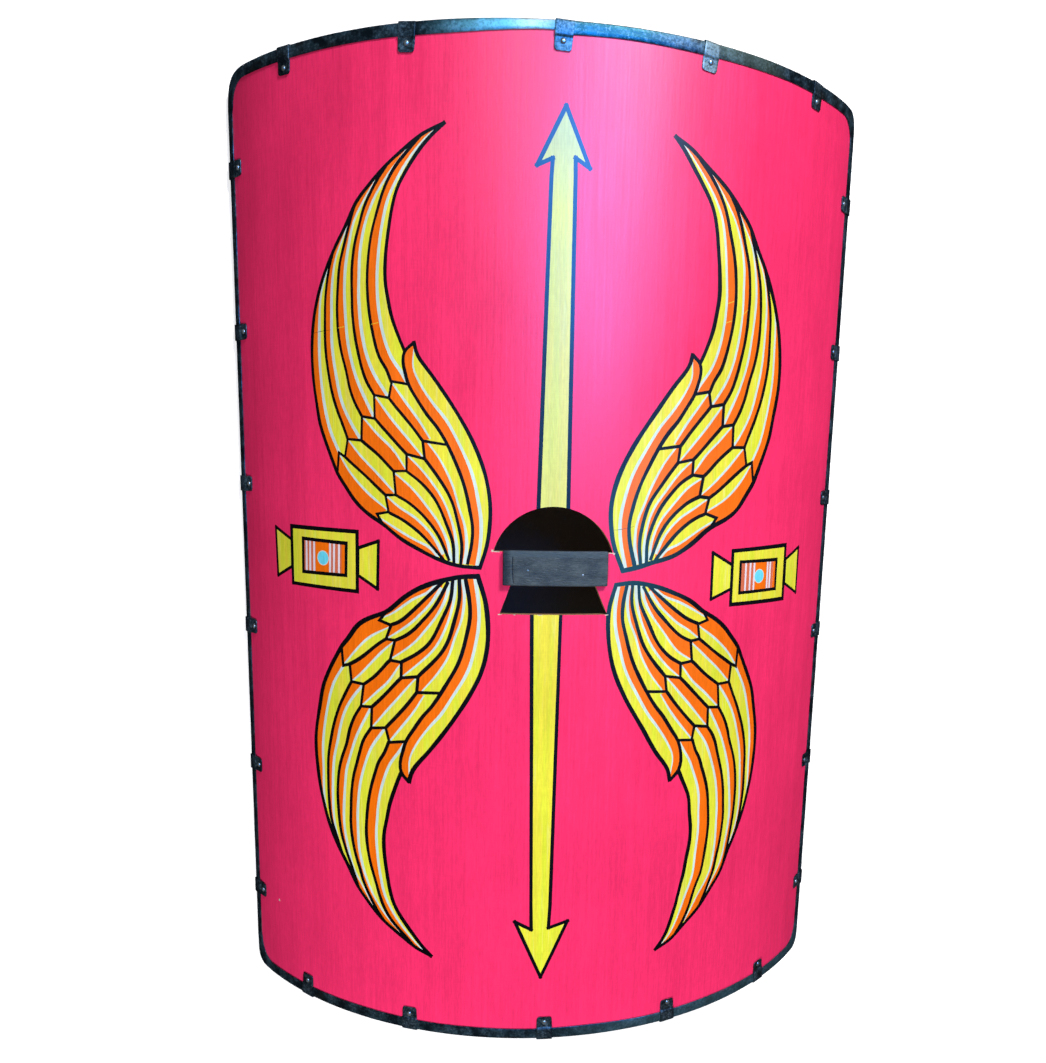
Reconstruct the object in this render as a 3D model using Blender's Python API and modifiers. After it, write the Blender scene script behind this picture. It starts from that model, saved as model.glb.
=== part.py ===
"""A curved, rectangular Roman infantry shield of plywood, edged with steel channel.

The shield lies face up on its two long edges, as it does when it is put down loose.
+Y runs up the shield, +X to the right as it is seen from in front, +Z out of its face.
The origin is under the middle of the shield, on the ground. Every length is in metres.

Each piece is first laid out flat, as a board is before it is bent: u runs along the curve,
v up the shield, and w off the middle of the board's thickness. One function then wraps the
layout onto the curve, so that pieces that nest in the flat also nest when they are bent.
"""
import math

import bmesh
import bpy
from mathutils import Matrix, Vector

# The shield as a whole
shield_height = 1.050
shield_arc = 0.808
bend_radius = 0.450
corner_radius = 0.037
board_thickness = 0.007
fit_gap = 0.0003

# The steel channel round the edge, in two lengths that meet at the middle of both ends
rim_gauge = 0.001
rim_leg = 0.012
rim_edge_bevel = 0.0009

# The clips that hold the channel on
end_clip_count = 5
side_clip_count = 6
end_clip_margin = 0.1075
side_clip_margin = 0.100
clip_width = 0.0175
clip_gauge = 0.001
clip_reach = 0.026
clip_step_run = 0.0014
clip_tip_radius = 0.003
clip_tip_taper = 0.0006
clip_bend_bevel = 0.0007

# The rivets through the clips
rivet_shank_radius = 0.0012
rivet_head_radius = 0.0027
rivet_head_height = 0.0013
rivet_tail_radius = 0.0022
rivet_tail_height = 0.0006

# The two hand holes and the bridge of board that is left between them
bridge_top = 0.028
bridge_bottom = -0.005
upper_hole_half_chord = 0.0608
upper_hole_rise = 0.0445
lower_hole_top_half_width = 0.0425
lower_hole_bottom_half_width = 0.057
lower_hole_drop = 0.0325

# Plain places on the middle line, above and below the holes, where a boss is fastened
seat_clearance = 0.006
seat_width = 0.030

# The leather-covered grip bar that is nailed to the front of the bridge
grip_length = 0.1046
grip_offset = 0.0011
grip_thickness = 0.0065
grip_over_top = 0.0012
grip_under_bottom = 0.0033
grip_bevel = 0.0022
grip_nail_places = ((-0.0259, 0.0073), (0.0296, 0.0032))
nail_shank_radius = 0.0009
nail_head_radius = 0.0021
nail_head_height = 0.0008

# How finely round shapes are divided
facets_per_clip_pitch = 5
corner_steps = 7
hole_arc_steps = 18
tip_arc_steps = 2
round_steps = 8
bevel_steps = 1

# Sizes that follow from the ones above
half_height = shield_height / 2
half_arc = shield_arc / 2
half_board = board_thickness / 2
rim_face = half_board + fit_gap + rim_gauge
board_inset = rim_gauge + fit_gap
clip_inside = rim_face + fit_gap
clip_face = clip_inside + clip_gauge
clip_tip_inside = half_board + fit_gap
clip_tip_face = clip_tip_inside + clip_gauge
clip_web_inside = fit_gap
clip_web_outside = fit_gap + clip_gauge
clip_step_start = rim_leg + fit_gap
clip_step_end = clip_step_start + clip_step_run
rivet_inset = (clip_step_end + clip_reach) / 2
end_clip_pitch = (shield_arc - 2 * end_clip_margin) / (end_clip_count - 1)
side_clip_pitch = (shield_height - 2 * side_clip_margin) / (side_clip_count - 1)
facet = end_clip_pitch / facets_per_clip_pitch
upper_seat = bridge_top + upper_hole_rise + seat_clearance
lower_seat = bridge_bottom - lower_hole_drop - seat_clearance
seat_lines = (upper_seat, upper_seat + seat_width, lower_seat, lower_seat - seat_width)
grip_back = half_board + fit_gap
grip_face = grip_back + grip_thickness
past = 0.01


def on_curve(u, v, w):
    """Wrap a point of the flat layout onto a polygon of flat facets, one centred on u = 0."""
    number = math.floor(u / facet + 0.5)
    start = (number - 0.5) * facet
    share = (u - start) / facet
    angles = (start / bend_radius, (start + facet) / bend_radius)
    across = (1 - share) * math.sin(angles[0]) + share * math.sin(angles[1])
    out = (1 - share) * math.cos(angles[0]) + share * math.cos(angles[1])
    return Vector(((bend_radius + w) * across, v, (bend_radius + w) * out))


# The outer back corners of the side clips touch the ground
ground = on_curve(half_arc + clip_web_outside, 0, -clip_face).z


def start_collections():
    """Clear the scene and return the collections for the parts and for the cutters."""
    for thing in list(bpy.data.objects):
        bpy.data.objects.remove(thing, do_unlink=True)
    made = []
    for name in ("roman_shield", "cutters"):
        collection = bpy.data.collections.new(name)
        bpy.context.scene.collection.children.link(collection)
        made.append(collection)
    return made


parts, cutters = start_collections()


def finish(name, colour, roughness, metallic):
    """A plain material for one kind of surface."""
    material = bpy.data.materials.new(name)
    material.use_nodes = True
    shader = material.node_tree.nodes["Principled BSDF"]
    shader.inputs["Base Color"].default_value = (*colour, 1)
    shader.inputs["Roughness"].default_value = roughness
    shader.inputs["Metallic"].default_value = metallic
    return material


red_paint = finish("red_paint", (0.62, 0.01, 0.06), 0.35, 0)
dark_steel = finish("dark_steel", (0.06, 0.08, 0.09), 0.4, 0.9)
bright_steel = finish("bright_steel", (0.35, 0.38, 0.4), 0.35, 1)
dark_leather = finish("dark_leather", (0.03, 0.04, 0.055), 0.5, 0)


def add_object(name, mesh, collection):
    """Put a mesh into a collection as an object."""
    added = bpy.data.objects.new(name, mesh)
    collection.objects.link(added)
    return added


def evaluated_mesh(source):
    """The mesh of an object with its modifiers, or of a curve, where it stands."""
    bpy.context.view_layer.update()
    depsgraph = bpy.context.evaluated_depsgraph_get()
    mesh = bpy.data.meshes.new_from_object(source.evaluated_get(depsgraph))
    mesh.transform(source.matrix_world)
    return mesh


def tidy_mesh(mesh):
    """Weld the seams of a closed mesh, merge its coplanar faces and turn them outwards."""
    work = bmesh.new()
    work.from_mesh(mesh)
    bmesh.ops.remove_doubles(work, verts=work.verts, dist=0.00001)
    bmesh.ops.dissolve_limit(work, angle_limit=0.0005, verts=[], edges=work.edges)
    bmesh.ops.recalc_face_normals(work, faces=work.faces)
    work.to_mesh(mesh)
    work.free()
    return mesh


def plate(name, outlines, low, high, matrix=None):
    """A plate between two heights; the first outline is its edge and the others are holes."""
    curve = bpy.data.curves.new(name, "CURVE")
    curve.dimensions = "2D"
    curve.fill_mode = "BOTH"
    curve.extrude = (high - low) / 2
    for outline in outlines:
        spline = curve.splines.new("POLY")
        spline.points.add(len(outline) - 1)
        for point, (across, up) in zip(spline.points, outline):
            point.co = (across, up, 0, 1)
        spline.use_cyclic_u = True
    drawn = add_object(name, curve, cutters)
    drawn.location.z = (low + high) / 2
    mesh = evaluated_mesh(drawn)
    bpy.data.objects.remove(drawn)
    if matrix is not None:
        mesh.transform(matrix)
    solid = add_object(name, tidy_mesh(mesh), cutters)
    solid.hide_render = True
    solid.display_type = "WIRE"
    return solid


def combine(solid, others, operation="DIFFERENCE"):
    """Cut other solids from a solid, or keep what it shares with them, and keep the result."""
    for other in others:
        modifier = solid.modifiers.new(other.name, "BOOLEAN")
        modifier.operation = operation
        modifier.object = other
    mesh = tidy_mesh(evaluated_mesh(solid))
    solid.modifiers.clear()
    solid.data = mesh
    for other in others:
        bpy.data.objects.remove(other)
    return solid


def arc(centre, radius, start, end, steps):
    """Points on an arc, with its angles in degrees."""
    angles = [math.radians(start + (end - start) * step / steps) for step in range(steps + 1)]
    return [(centre[0] + radius * math.cos(a), centre[1] + radius * math.sin(a)) for a in angles]


def shield_outline(inset):
    """The shield's edge in the flat, with round corners, moved inwards by an inset."""
    radius = corner_radius - inset
    side = half_arc - corner_radius
    end = half_height - corner_radius
    outline = []
    for centre, start in (((side, end), 0), ((-side, end), 90), ((-side, -end), 180), ((side, -end), 270)):
        outline += arc(centre, radius, start, start + 90, corner_steps)
    return outline


def clip_places():
    """Name, place on the rim's outer edge, and turn of every clip."""
    places = []
    for number in range(end_clip_count):
        u = end_clip_pitch * (number - (end_clip_count - 1) / 2)
        places.append((f"top_{number + 1}", (u, half_height), 0))
        places.append((f"bottom_{number + 1}", (u, -half_height), 180))
    for number in range(side_clip_count):
        v = side_clip_pitch * ((side_clip_count - 1) / 2 - number)
        places.append((f"left_{number + 1}", (-half_arc, v), 90))
        places.append((f"right_{number + 1}", (half_arc, v), -90))
    return places


def stand_at(place, turn):
    """The matrix that moves a clip or rivet, drawn at the top edge, to its place on the rim."""
    return Matrix.Translation((*place, 0)) @ Matrix.Rotation(math.radians(turn), 4, "Z")


def slice_faces(work, faces, place, direction):
    """Divide faces along a plane, without opening the solid."""
    corners = {vertex for face in faces for vertex in face.verts}
    edges = {edge for face in faces for edge in face.edges}
    bmesh.ops.bisect_plane(work, geom=[*corners, *edges, *faces], dist=0.000001, plane_co=place,
                           plane_no=direction)


def wrap(solid, name, material, lines=()):
    """Bend a flat solid round the curve, as a finished part; lines divide its middle facet."""
    work = bmesh.new()
    work.from_mesh(solid.data)
    spread = [vertex.co.x for vertex in work.verts]
    first = math.ceil(min(spread) / facet - 0.5)
    last = math.floor(max(spread) / facet - 0.5)
    for number in range(first, last + 1):
        slice_faces(work, work.faces[:], ((number + 0.5) * facet, 0, 0), (1, 0, 0))
    for line in lines:
        middle = [face for face in work.faces if all(abs(corner.co.x) < 0.51 * facet for corner in face.verts)]
        slice_faces(work, middle, (0, line, 0), (0, 1, 0))
    for vertex in work.verts:
        vertex.co = on_curve(*vertex.co) - Vector((0, 0, ground))
    mesh = bpy.data.meshes.new(name)
    work.to_mesh(mesh)
    work.free()
    bpy.data.objects.remove(solid)
    mesh.materials.append(material)
    mesh.shade_smooth()
    mesh.set_sharp_from_angle(angle=math.radians(30))
    return add_object(name, mesh, parts)


def turned(name, profile):
    """A solid of revolution about w, from a profile that runs down its outer side."""
    mesh = bpy.data.meshes.new(name)
    mesh.from_pydata([(radius, 0, w) for radius, w in profile], [(i, i + 1) for i in range(len(profile) - 1)], [])
    solid = add_object(name, mesh, cutters)
    screw = solid.modifiers.new("turn", "SCREW")
    screw.axis = "Z"
    screw.angle = math.tau
    screw.steps = round_steps
    screw.render_steps = round_steps
    screw.use_merge_vertices = True
    screw.merge_threshold = 0.00001
    solid.data = tidy_mesh(evaluated_mesh(solid))
    solid.modifiers.clear()
    return solid


def pin(name, place, radius, half_length):
    """A round cutter along w, for a rivet's or a nail's hole."""
    bpy.ops.mesh.primitive_cylinder_add(vertices=round_steps, radius=radius, depth=2 * half_length,
                                        location=(*place, 0))
    cutter = bpy.context.object
    cutter.name = name
    cutter.hide_render = True
    cutter.display_type = "WIRE"
    for collection in list(cutter.users_collection):
        collection.objects.unlink(cutter)
    cutters.objects.link(cutter)
    return cutter


def make_board():
    """The bent plywood board, with two hand holes and a hole for every rivet and nail."""
    chord = upper_hole_half_chord
    hole_radius = (chord ** 2 + upper_hole_rise ** 2) / (2 * upper_hole_rise)
    hole_centre = bridge_top + upper_hole_rise - hole_radius
    start = math.degrees(math.atan2(bridge_top - hole_centre, chord))
    upper_hole = arc((0, hole_centre), hole_radius, start, 180 - start, hole_arc_steps)
    lower_edge = bridge_bottom - lower_hole_drop
    lower_hole = [(-lower_hole_top_half_width, bridge_bottom), (-lower_hole_bottom_half_width, lower_edge),
                  (lower_hole_bottom_half_width, lower_edge), (lower_hole_top_half_width, bridge_bottom)]
    board = plate("board", [shield_outline(board_inset), upper_hole, lower_hole], -half_board, half_board)
    holes = []
    for name, place, turn in clip_places():
        spot = stand_at(place, turn) @ Vector((0, -rivet_inset, 0))
        holes.append(pin("hole_" + name, spot.xy, rivet_shank_radius + fit_gap, past))
    for number, place in enumerate(grip_nail_places):
        holes.append(pin(f"nail_hole_{number}", place, nail_shank_radius + fit_gap, past))
    wrap(combine(board, holes), "shield_board", red_paint, seat_lines)


def make_rim():
    """The channel round the edge, in a left and a right length."""
    for name, side in (("rim_left", -1), ("rim_right", 1)):
        channel = plate("channel", [shield_outline(0)], -rim_face, rim_face)
        bevel = channel.modifiers.new("soft edges", "BEVEL")
        bevel.width = rim_edge_bevel
        bevel.segments = bevel_steps
        bevel.limit_method = "ANGLE"
        bevel.angle_limit = math.radians(60)
        slot = plate("slot", [shield_outline(rim_gauge)], -half_board - fit_gap, half_board + fit_gap)
        window = plate("window", [shield_outline(rim_leg)], -past, past)
        near = side * fit_gap / 2
        far = -side * (half_arc + past)
        end = half_height + past
        other_half = plate("other_half", [[(near, -end), (far, -end), (far, end), (near, end)]], -past, past)
        wrap(combine(channel, [slot, window, other_half]), name, dark_steel)


def make_clip(name, place, turn):
    """A strip folded over the rim, stepped down to the board on both faces."""
    outside = [(-clip_reach, clip_tip_face), (-clip_step_end, clip_tip_face), (-clip_step_start, clip_face),
               (clip_web_outside - clip_bend_bevel, clip_face), (clip_web_outside, clip_face - clip_bend_bevel)]
    inside = [(-clip_reach, clip_tip_inside), (-clip_step_end, clip_tip_inside),
              (-clip_step_start, clip_inside), (clip_web_inside, clip_inside)]
    fold = outside + [(y, -w) for y, w in reversed(outside)]
    fold += [(y, -w) for y, w in inside] + list(reversed(inside))
    across = Matrix(((0, 0, 1, 0), (1, 0, 0, 0), (0, 1, 0, 0), (0, 0, 0, 1)))
    strip = plate("strip", [fold], -clip_width / 2, clip_width / 2, across)
    tip = clip_width / 2 - clip_tip_taper
    corner = tip - clip_tip_radius
    tip_line = clip_tip_radius - clip_reach
    top = clip_web_outside + past
    tongue = arc((-corner, tip_line), clip_tip_radius, 180, 270, tip_arc_steps)
    tongue += arc((corner, tip_line), clip_tip_radius, 270, 360, tip_arc_steps)
    tongue += [(clip_width / 2, -clip_step_end), (clip_width / 2, top), (-clip_width / 2, top),
               (-clip_width / 2, -clip_step_end)]
    clip = combine(strip, [plate("tongue", [tongue], -past, past)], "INTERSECT")
    hole = pin("clip_hole", (0, -rivet_inset), rivet_shank_radius + fit_gap, past)
    clip = combine(clip, [hole])
    clip.data.transform(stand_at(place, turn))
    wrap(clip, "clip_" + name, dark_steel)


def fastener_profile(face, head_radius, head_height, shank_radius, tail_radius, tail_height, tail_face):
    """The side of a rivet from the top of its domed head down to its flattened tail."""
    top = face + fit_gap
    bottom = tail_face - fit_gap
    return [(0, top + head_height), (head_radius * 0.62, top + head_height * 0.78), (head_radius, top),
            (shank_radius, top), (shank_radius, bottom), (tail_radius, bottom),
            (tail_radius, bottom - tail_height), (0, bottom - tail_height)]


def make_rivet(name, place, turn):
    """A rivet through both legs of a clip and the board."""
    profile = fastener_profile(clip_tip_face, rivet_head_radius, rivet_head_height, rivet_shank_radius,
                               rivet_tail_radius, rivet_tail_height, -clip_tip_face)
    rivet = turned("rivet", profile)
    rivet.data.transform(stand_at(place, turn) @ Matrix.Translation((0, -rivet_inset, 0)))
    wrap(rivet, "rivet_" + name, bright_steel)


def make_grip():
    """The grip bar over the bridge, and the two nails that hold it."""
    low = bridge_bottom - grip_under_bottom
    high = bridge_top + grip_over_top
    left = grip_offset - grip_length / 2
    right = grip_offset + grip_length / 2
    bar = plate("bar", [[(left, low), (right, low), (right, high), (left, high)]], grip_back, grip_face)
    bevel = bar.modifiers.new("soft edges", "BEVEL")
    bevel.width = grip_bevel
    bevel.segments = 2
    holes = [pin(f"grip_hole_{number}", place, nail_shank_radius + fit_gap, 2 * past)
             for number, place in enumerate(grip_nail_places)]
    wrap(combine(bar, holes), "grip", dark_leather)
    for name, place in zip(("left", "right"), grip_nail_places):
        profile = fastener_profile(grip_face, nail_head_radius, nail_head_height, nail_shank_radius,
                                   nail_head_radius, nail_head_height, -half_board)
        nail = turned("nail", profile)
        nail.data.transform(Matrix.Translation((*place, 0)))
        wrap(nail, "grip_nail_" + name, bright_steel)


make_board()
make_rim()
for clip_name, clip_place, clip_turn in clip_places():
    make_clip(clip_name, clip_place, clip_turn)
    make_rivet(clip_name, clip_place, clip_turn)
make_grip()
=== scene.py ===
# %% [markdown]
# # A curved Roman infantry shield
# The real shield is a sheet of plywood, glued up on a curved form, painted on the front and edged with folded
# steel. Everything on it was flat before it was bent, so this lesson works the same way: each piece is laid
# out flat, and one small Geometry Nodes tree then bends it round the same cylinder. The CAD model gives the
# frame. It fixes where every piece sits, and this scene only makes the pieces look real.

# %% Load the frame
import math

import bmesh
import bpy
import numpy as np
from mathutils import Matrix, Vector, noise
from mathutils.geometry import delaunay_2d_cdt


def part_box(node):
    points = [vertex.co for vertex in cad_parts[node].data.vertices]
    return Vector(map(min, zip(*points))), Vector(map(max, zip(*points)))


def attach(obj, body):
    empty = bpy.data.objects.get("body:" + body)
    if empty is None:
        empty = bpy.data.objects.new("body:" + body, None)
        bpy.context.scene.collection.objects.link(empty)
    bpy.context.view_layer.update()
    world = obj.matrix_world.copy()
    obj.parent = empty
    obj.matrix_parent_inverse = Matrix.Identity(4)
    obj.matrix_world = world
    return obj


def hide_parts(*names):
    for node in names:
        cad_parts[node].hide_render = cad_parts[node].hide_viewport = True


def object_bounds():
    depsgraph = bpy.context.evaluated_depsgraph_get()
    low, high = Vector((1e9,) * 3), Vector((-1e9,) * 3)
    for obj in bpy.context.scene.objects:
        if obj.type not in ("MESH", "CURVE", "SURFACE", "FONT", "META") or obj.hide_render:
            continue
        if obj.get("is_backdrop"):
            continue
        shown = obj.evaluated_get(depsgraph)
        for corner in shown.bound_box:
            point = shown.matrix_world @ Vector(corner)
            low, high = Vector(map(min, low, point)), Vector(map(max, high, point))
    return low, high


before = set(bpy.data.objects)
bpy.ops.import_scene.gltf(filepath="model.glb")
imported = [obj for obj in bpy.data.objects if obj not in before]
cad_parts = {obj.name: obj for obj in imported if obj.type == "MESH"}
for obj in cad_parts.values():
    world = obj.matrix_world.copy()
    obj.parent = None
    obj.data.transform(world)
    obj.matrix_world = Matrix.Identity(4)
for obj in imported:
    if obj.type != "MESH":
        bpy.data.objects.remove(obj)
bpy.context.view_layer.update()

# %% [markdown]
# ## Sizes
# These are the sizes of the real shield, in metres. The flat layout has u along the curve, v up the shield
# and w off the middle of the board. A reader can check them against the boxes of the CAD nodes, which are
# printed.

# %% Sizes
bend_radius = 0.450
floor_drop = 0.275618
half_arc = 0.404
half_height = 0.525
corner_radius = 0.037
board_half = 0.0035
end_clips = [-0.2965, -0.14825, 0.0, 0.14825, 0.2965]
side_clips = [0.425, 0.255, 0.085, -0.085, -0.255, -0.425]
rivet_inset = 0.01985
for name in ("shield_board", "rim_left", "clip_top_3", "grip"):
    low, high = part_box(name)
    print(name, [round(v * 1000, 1) for v in (*low, *high)])

# %% [markdown]
# ## Arithmetic on node sockets
# Shader maths is easier to read as expressions than as boxes and wires. The class below wraps one output of a
# node. Adding, scaling or comparing such values adds the Math nodes. A vector goes through Vector Math,
# because a Math node would keep only its brightness. The same class serves shaders and Geometry Nodes.

# %% A wire that knows arithmetic
class Wire:
    """One output of a node, which can be used in an expression."""

    def __init__(self, bench, socket):
        self.bench = bench
        self.socket = socket

    def maths(self, operation, *values):
        vectors = [v for v in values if isinstance(v, (tuple, Vector)) or getattr(v, "is_vector", False)]
        kind = "ShaderNodeVectorMath" if vectors else "ShaderNodeMath"
        return self.bench.node(kind, {"operation": operation}, dict(enumerate(values)))

    @property
    def is_vector(self):
        return self.socket.type == "VECTOR"

    def __add__(self, other):
        return self.maths("ADD", self, other)

    def __radd__(self, other):
        return self.maths("ADD", other, self)

    def __sub__(self, other):
        return self.maths("SUBTRACT", self, other)

    def __rsub__(self, other):
        return self.maths("SUBTRACT", other, self)

    def __mul__(self, other):
        return self.maths("MULTIPLY", self, other)

    def __rmul__(self, other):
        return self.maths("MULTIPLY", other, self)

    def __truediv__(self, other):
        return self.maths("DIVIDE", self, other)

    def __gt__(self, other):
        return self.maths("GREATER_THAN", self, other)

    def __lt__(self, other):
        return self.maths("LESS_THAN", self, other)


class Bench:
    """A node tree that is being built. Its node() adds one node and returns a Wire."""

    def __init__(self, tree):
        self.tree = tree

    def node(self, kind, settings=None, inputs=None, output=0):
        made = self.tree.nodes.new(kind)
        for name, value in (settings or {}).items():
            setattr(made, name, value)
        for name, value in (inputs or {}).items():
            self.join(value, made.inputs[name])
        return Wire(self, made.outputs[output]) if len(made.outputs) else None

    def join(self, value, socket):
        if isinstance(value, Wire):
            self.tree.links.new(value.socket, socket)
        elif isinstance(value, (int, float, bool)) and socket.type in ("VECTOR", "RGBA"):
            socket.default_value = [value] * len(socket.default_value)
        else:
            socket.default_value = value

    def span(self, wire, low, high, to_low=0.0, to_high=1.0):
        """Turns low..high into to_low..to_high and stops at both ends."""
        return self.node("ShaderNodeMapRange", {"clamp": True},
                         {0: wire, 1: low, 2: high, 3: to_low, 4: to_high})


signs = [name.strip("_") for name, way in vars(Wire).items() if name.startswith("__") and callable(way)]
print("a wire knows:", ", ".join(signs[1:]))

# %% [markdown]
# ## A bench for materials
# Every finish here starts from the flat layout. The bending tree stores it as the attribute `flat`, so
# streaks and grain run up the board and follow its curve. The helpers return noise, mixed colours and a
# finished material.

# %% A bench for materials
def linear(red, green, blue):
    """A screen colour of 0 to 255 as the linear colour that a shader wants."""
    parts = []
    for part in (red, green, blue):
        part = part / 255
        parts.append(part / 12.92 if part <= 0.04045 else ((part + 0.055) / 1.055) ** 2.4)
    return (*parts, 1.0)


class Finish(Bench):
    """A material that is being made."""

    def __init__(self, name):
        self.material = bpy.data.materials.new(name)
        self.material.use_nodes = True
        super().__init__(self.material.node_tree)
        self.tree.nodes.clear()
        self.flat = self.node("ShaderNodeAttribute", {"attribute_name": "flat"}, output="Vector")
        self.parts = [self.node("ShaderNodeSeparateXYZ", None, {0: self.flat}, output=k) for k in range(3)]

    def noise(self, stretch, detail=3.0, rough=0.55, shift=0.0, warp=0.0):
        """Soft noise from 0 to 1. A stretch of (a, b, c) gives that many blotches to a metre."""
        return self.node("ShaderNodeTexNoise", {"noise_dimensions": "3D"},
                         {"Vector": self.flat * tuple(stretch) + (shift, shift * 0.7, shift * 1.3),
                          "Scale": 1.0, "Detail": detail, "Roughness": rough, "Distortion": warp})

    def mix(self, share, one, other, blend="MIX"):
        return self.node("ShaderNodeMix", {"data_type": "RGBA", "blend_type": blend, "clamp_factor": True},
                         {0: share, 6: one, 7: other}, output=2)

    def bump(self, height, strength, distance):
        return self.node("ShaderNodeBump", None, {"Strength": strength, "Distance": distance, "Height": height})

    def finish(self, inputs):
        shader = self.node("ShaderNodeBsdfPrincipled", None, inputs)
        self.node("ShaderNodeOutputMaterial", None, {"Surface": shader})
        return self.material


print("a middle grey is", [round(part, 3) for part in linear(128, 128, 128)])

# %% [markdown]
# ## Bending with Geometry Nodes
# The board is the main piece and it follows a simple rule: a strip that is u long wraps round u / R radians
# of a cylinder. Moving each point by that rule bends any flat piece, and the clips and rivets on it, in one
# go. Doing it in a tree keeps one named radius for all of them. The tree is used as a modifier and then made
# a plain mesh.

# %% Bending with Geometry Nodes
def new_tree(name, sizes):
    """An empty Geometry Nodes tree with named inputs."""
    tree = bpy.data.node_groups.new(name, "GeometryNodeTree")
    tree.interface.new_socket("Geometry", in_out="INPUT", socket_type="NodeSocketGeometry")
    for label, kind in sizes.items():
        tree.interface.new_socket(label, in_out="INPUT", socket_type="NodeSocket" + kind)
    tree.interface.new_socket("Geometry", in_out="OUTPUT", socket_type="NodeSocketGeometry")
    bench = Bench(tree)
    given = tree.nodes.new("NodeGroupInput")
    wires = {socket.name: Wire(bench, socket) for socket in given.outputs if socket.name}
    return bench, wires


def add_bend(bench, geometry, radius, drop):
    """Stores the flat layout and wraps the geometry round the cylinder."""
    place = bench.node("GeometryNodeInputPosition")
    stored = bench.node("GeometryNodeStoreNamedAttribute", {"data_type": "FLOAT_VECTOR", "domain": "POINT"},
                        {"Geometry": geometry, "Name": "flat", "Value": place})
    u, v, w = [bench.node("ShaderNodeSeparateXYZ", None, {0: place}, output=k) for k in range(3)]
    angle = u / radius
    reach = w + radius
    bent = bench.node("ShaderNodeCombineXYZ", None, {
        0: reach * bench.node("ShaderNodeMath", {"operation": "SINE"}, {0: angle}),
        1: v,
        2: reach * bench.node("ShaderNodeMath", {"operation": "COSINE"}, {0: angle}) - drop})
    return bench.node("GeometryNodeSetPosition", None, {"Geometry": stored, "Position": bent})


def end_tree(bench, geometry):
    bench.node("NodeGroupOutput", None, {"Geometry": geometry})
    return bench.tree


bench, given = new_tree("bend_round_the_form", {"Bend radius": "Float", "Floor drop": "Float"})
bending = end_tree(bench, add_bend(bench, given["Geometry"], given["Bend radius"], given["Floor drop"]))


def run_tree(thing, tree, values):
    """Runs a tree on an object and returns the result as a plain object of its own."""
    collection = bpy.context.scene.collection
    collection.objects.link(thing)
    modifier = thing.modifiers.new(tree.name, "NODES")
    modifier.node_group = tree
    for socket in tree.interface.items_tree:
        if socket.in_out == "INPUT" and socket.name in values:
            modifier[socket.identifier] = values[socket.name]
    view = bpy.context.evaluated_depsgraph_get()
    mesh = bpy.data.meshes.new_from_object(thing.evaluated_get(view), depsgraph=view)
    name = thing.name
    bpy.data.objects.remove(thing)
    made = bpy.data.objects.new(name, mesh)
    collection.objects.link(made)
    return made


form = {"Bend radius": bend_radius, "Floor drop": floor_drop}
print("bending tree with", len(bending.nodes), "nodes")

# %% [markdown]
# ## Curves and brush strokes
# The ornament was drawn by hand and filled with a brush. A few points on each line are enough: a smooth curve
# runs through them, and a stroke is that curve with a width. The width wavers slightly, as a brush does.
# Corners are mitred, so that zigzags stay sharp. All of this is in millimetres, as on a drawing board. Every
# shape is a coat of one numbered paint, and a later coat covers an earlier one.

# %% Curves and brush strokes
def smooth(points, step=5.0):
    """A soft curve through a few points, as many short steps."""
    points = np.array(points, float)
    if len(points) < 3:
        return points
    ends = np.vstack([2 * points[0] - points[1], points, 2 * points[-1] - points[-2]])
    curve = [points[0]]
    for number in range(len(points) - 1):
        a, b, c, d = ends[number:number + 4]
        times = [0.0]
        for one, two in ((a, b), (b, c), (c, d)):
            times.append(times[-1] + max(np.linalg.norm(two - one), 1e-6) ** 0.5)
        steps = max(1, int(round(np.linalg.norm(c - b) / step)))
        for share in np.arange(1, steps + 1) / steps:
            t = times[1] + (times[2] - times[1]) * share
            ab = a + (b - a) * (t - times[0]) / (times[1] - times[0])
            bc = b + (c - b) * (t - times[1]) / (times[2] - times[1])
            cd = c + (d - c) * (t - times[2]) / (times[3] - times[2])
            abc = ab + (bc - ab) * (t - times[0]) / (times[2] - times[0])
            bcd = bc + (cd - bc) * (t - times[1]) / (times[3] - times[1])
            curve.append(abc + (bcd - abc) * (t - times[1]) / (times[2] - times[1]))
    return np.array(curve)


def stroke(line, width, start=1.0, end=1.0, past=0.8, waver=0.09):
    """The outline of a brush stroke along a line. start and end scale its width at its two ends."""
    line = np.array(line, float)
    ahead = np.diff(line, axis=0)
    lengths = np.linalg.norm(ahead, axis=1)
    ahead = ahead[lengths > 1e-6] / lengths[lengths > 1e-6, None]
    line = np.vstack([line[:1], line[1:][lengths > 1e-6]])
    line[0] -= ahead[0] * past
    line[-1] += ahead[-1] * past
    beside = np.stack([-ahead[:, 1], ahead[:, 0]], axis=1)
    mitres = np.vstack([beside[:1], beside[:-1] + beside[1:], beside[-1:]])
    mitres /= np.maximum(np.linalg.norm(mitres, axis=1), 1e-6)[:, None]
    first = np.vstack([beside[:1], beside])
    mitres /= np.clip((mitres * first).sum(1), 0.45, 1.0)[:, None]
    share = np.linspace(0, 1, len(line))
    taper = 1 + (start - 1) * np.clip(1 - share * 3, 0, 1) + (end - 1) * np.clip(share * 3 - 2, 0, 1)
    wander = np.array([noise.noise(Vector((x * 0.035, y * 0.035, width))) for x, y in line])
    half = width / 2 * taper * (1 + waver * 2 * wander)
    left = line + mitres * half[:, None]
    right = line - mitres * half[:, None]
    return np.vstack([left, right[::-1]])


print("a test stroke has", len(stroke(smooth([(0, 0), (30, 10), (60, 0)]), 3.0)), "corners")

# %% Coats of paint
# The last paint number is the arrow's black line, which also carries a painted reflection of the blue sheen.
RED, YELLOW, ORANGE, PALE, BLACK, SKY, ROSE, LILAC, BARE, CHALK, ARROW_LINE_PAINTED_SHEEN = range(11)
coats = []


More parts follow.
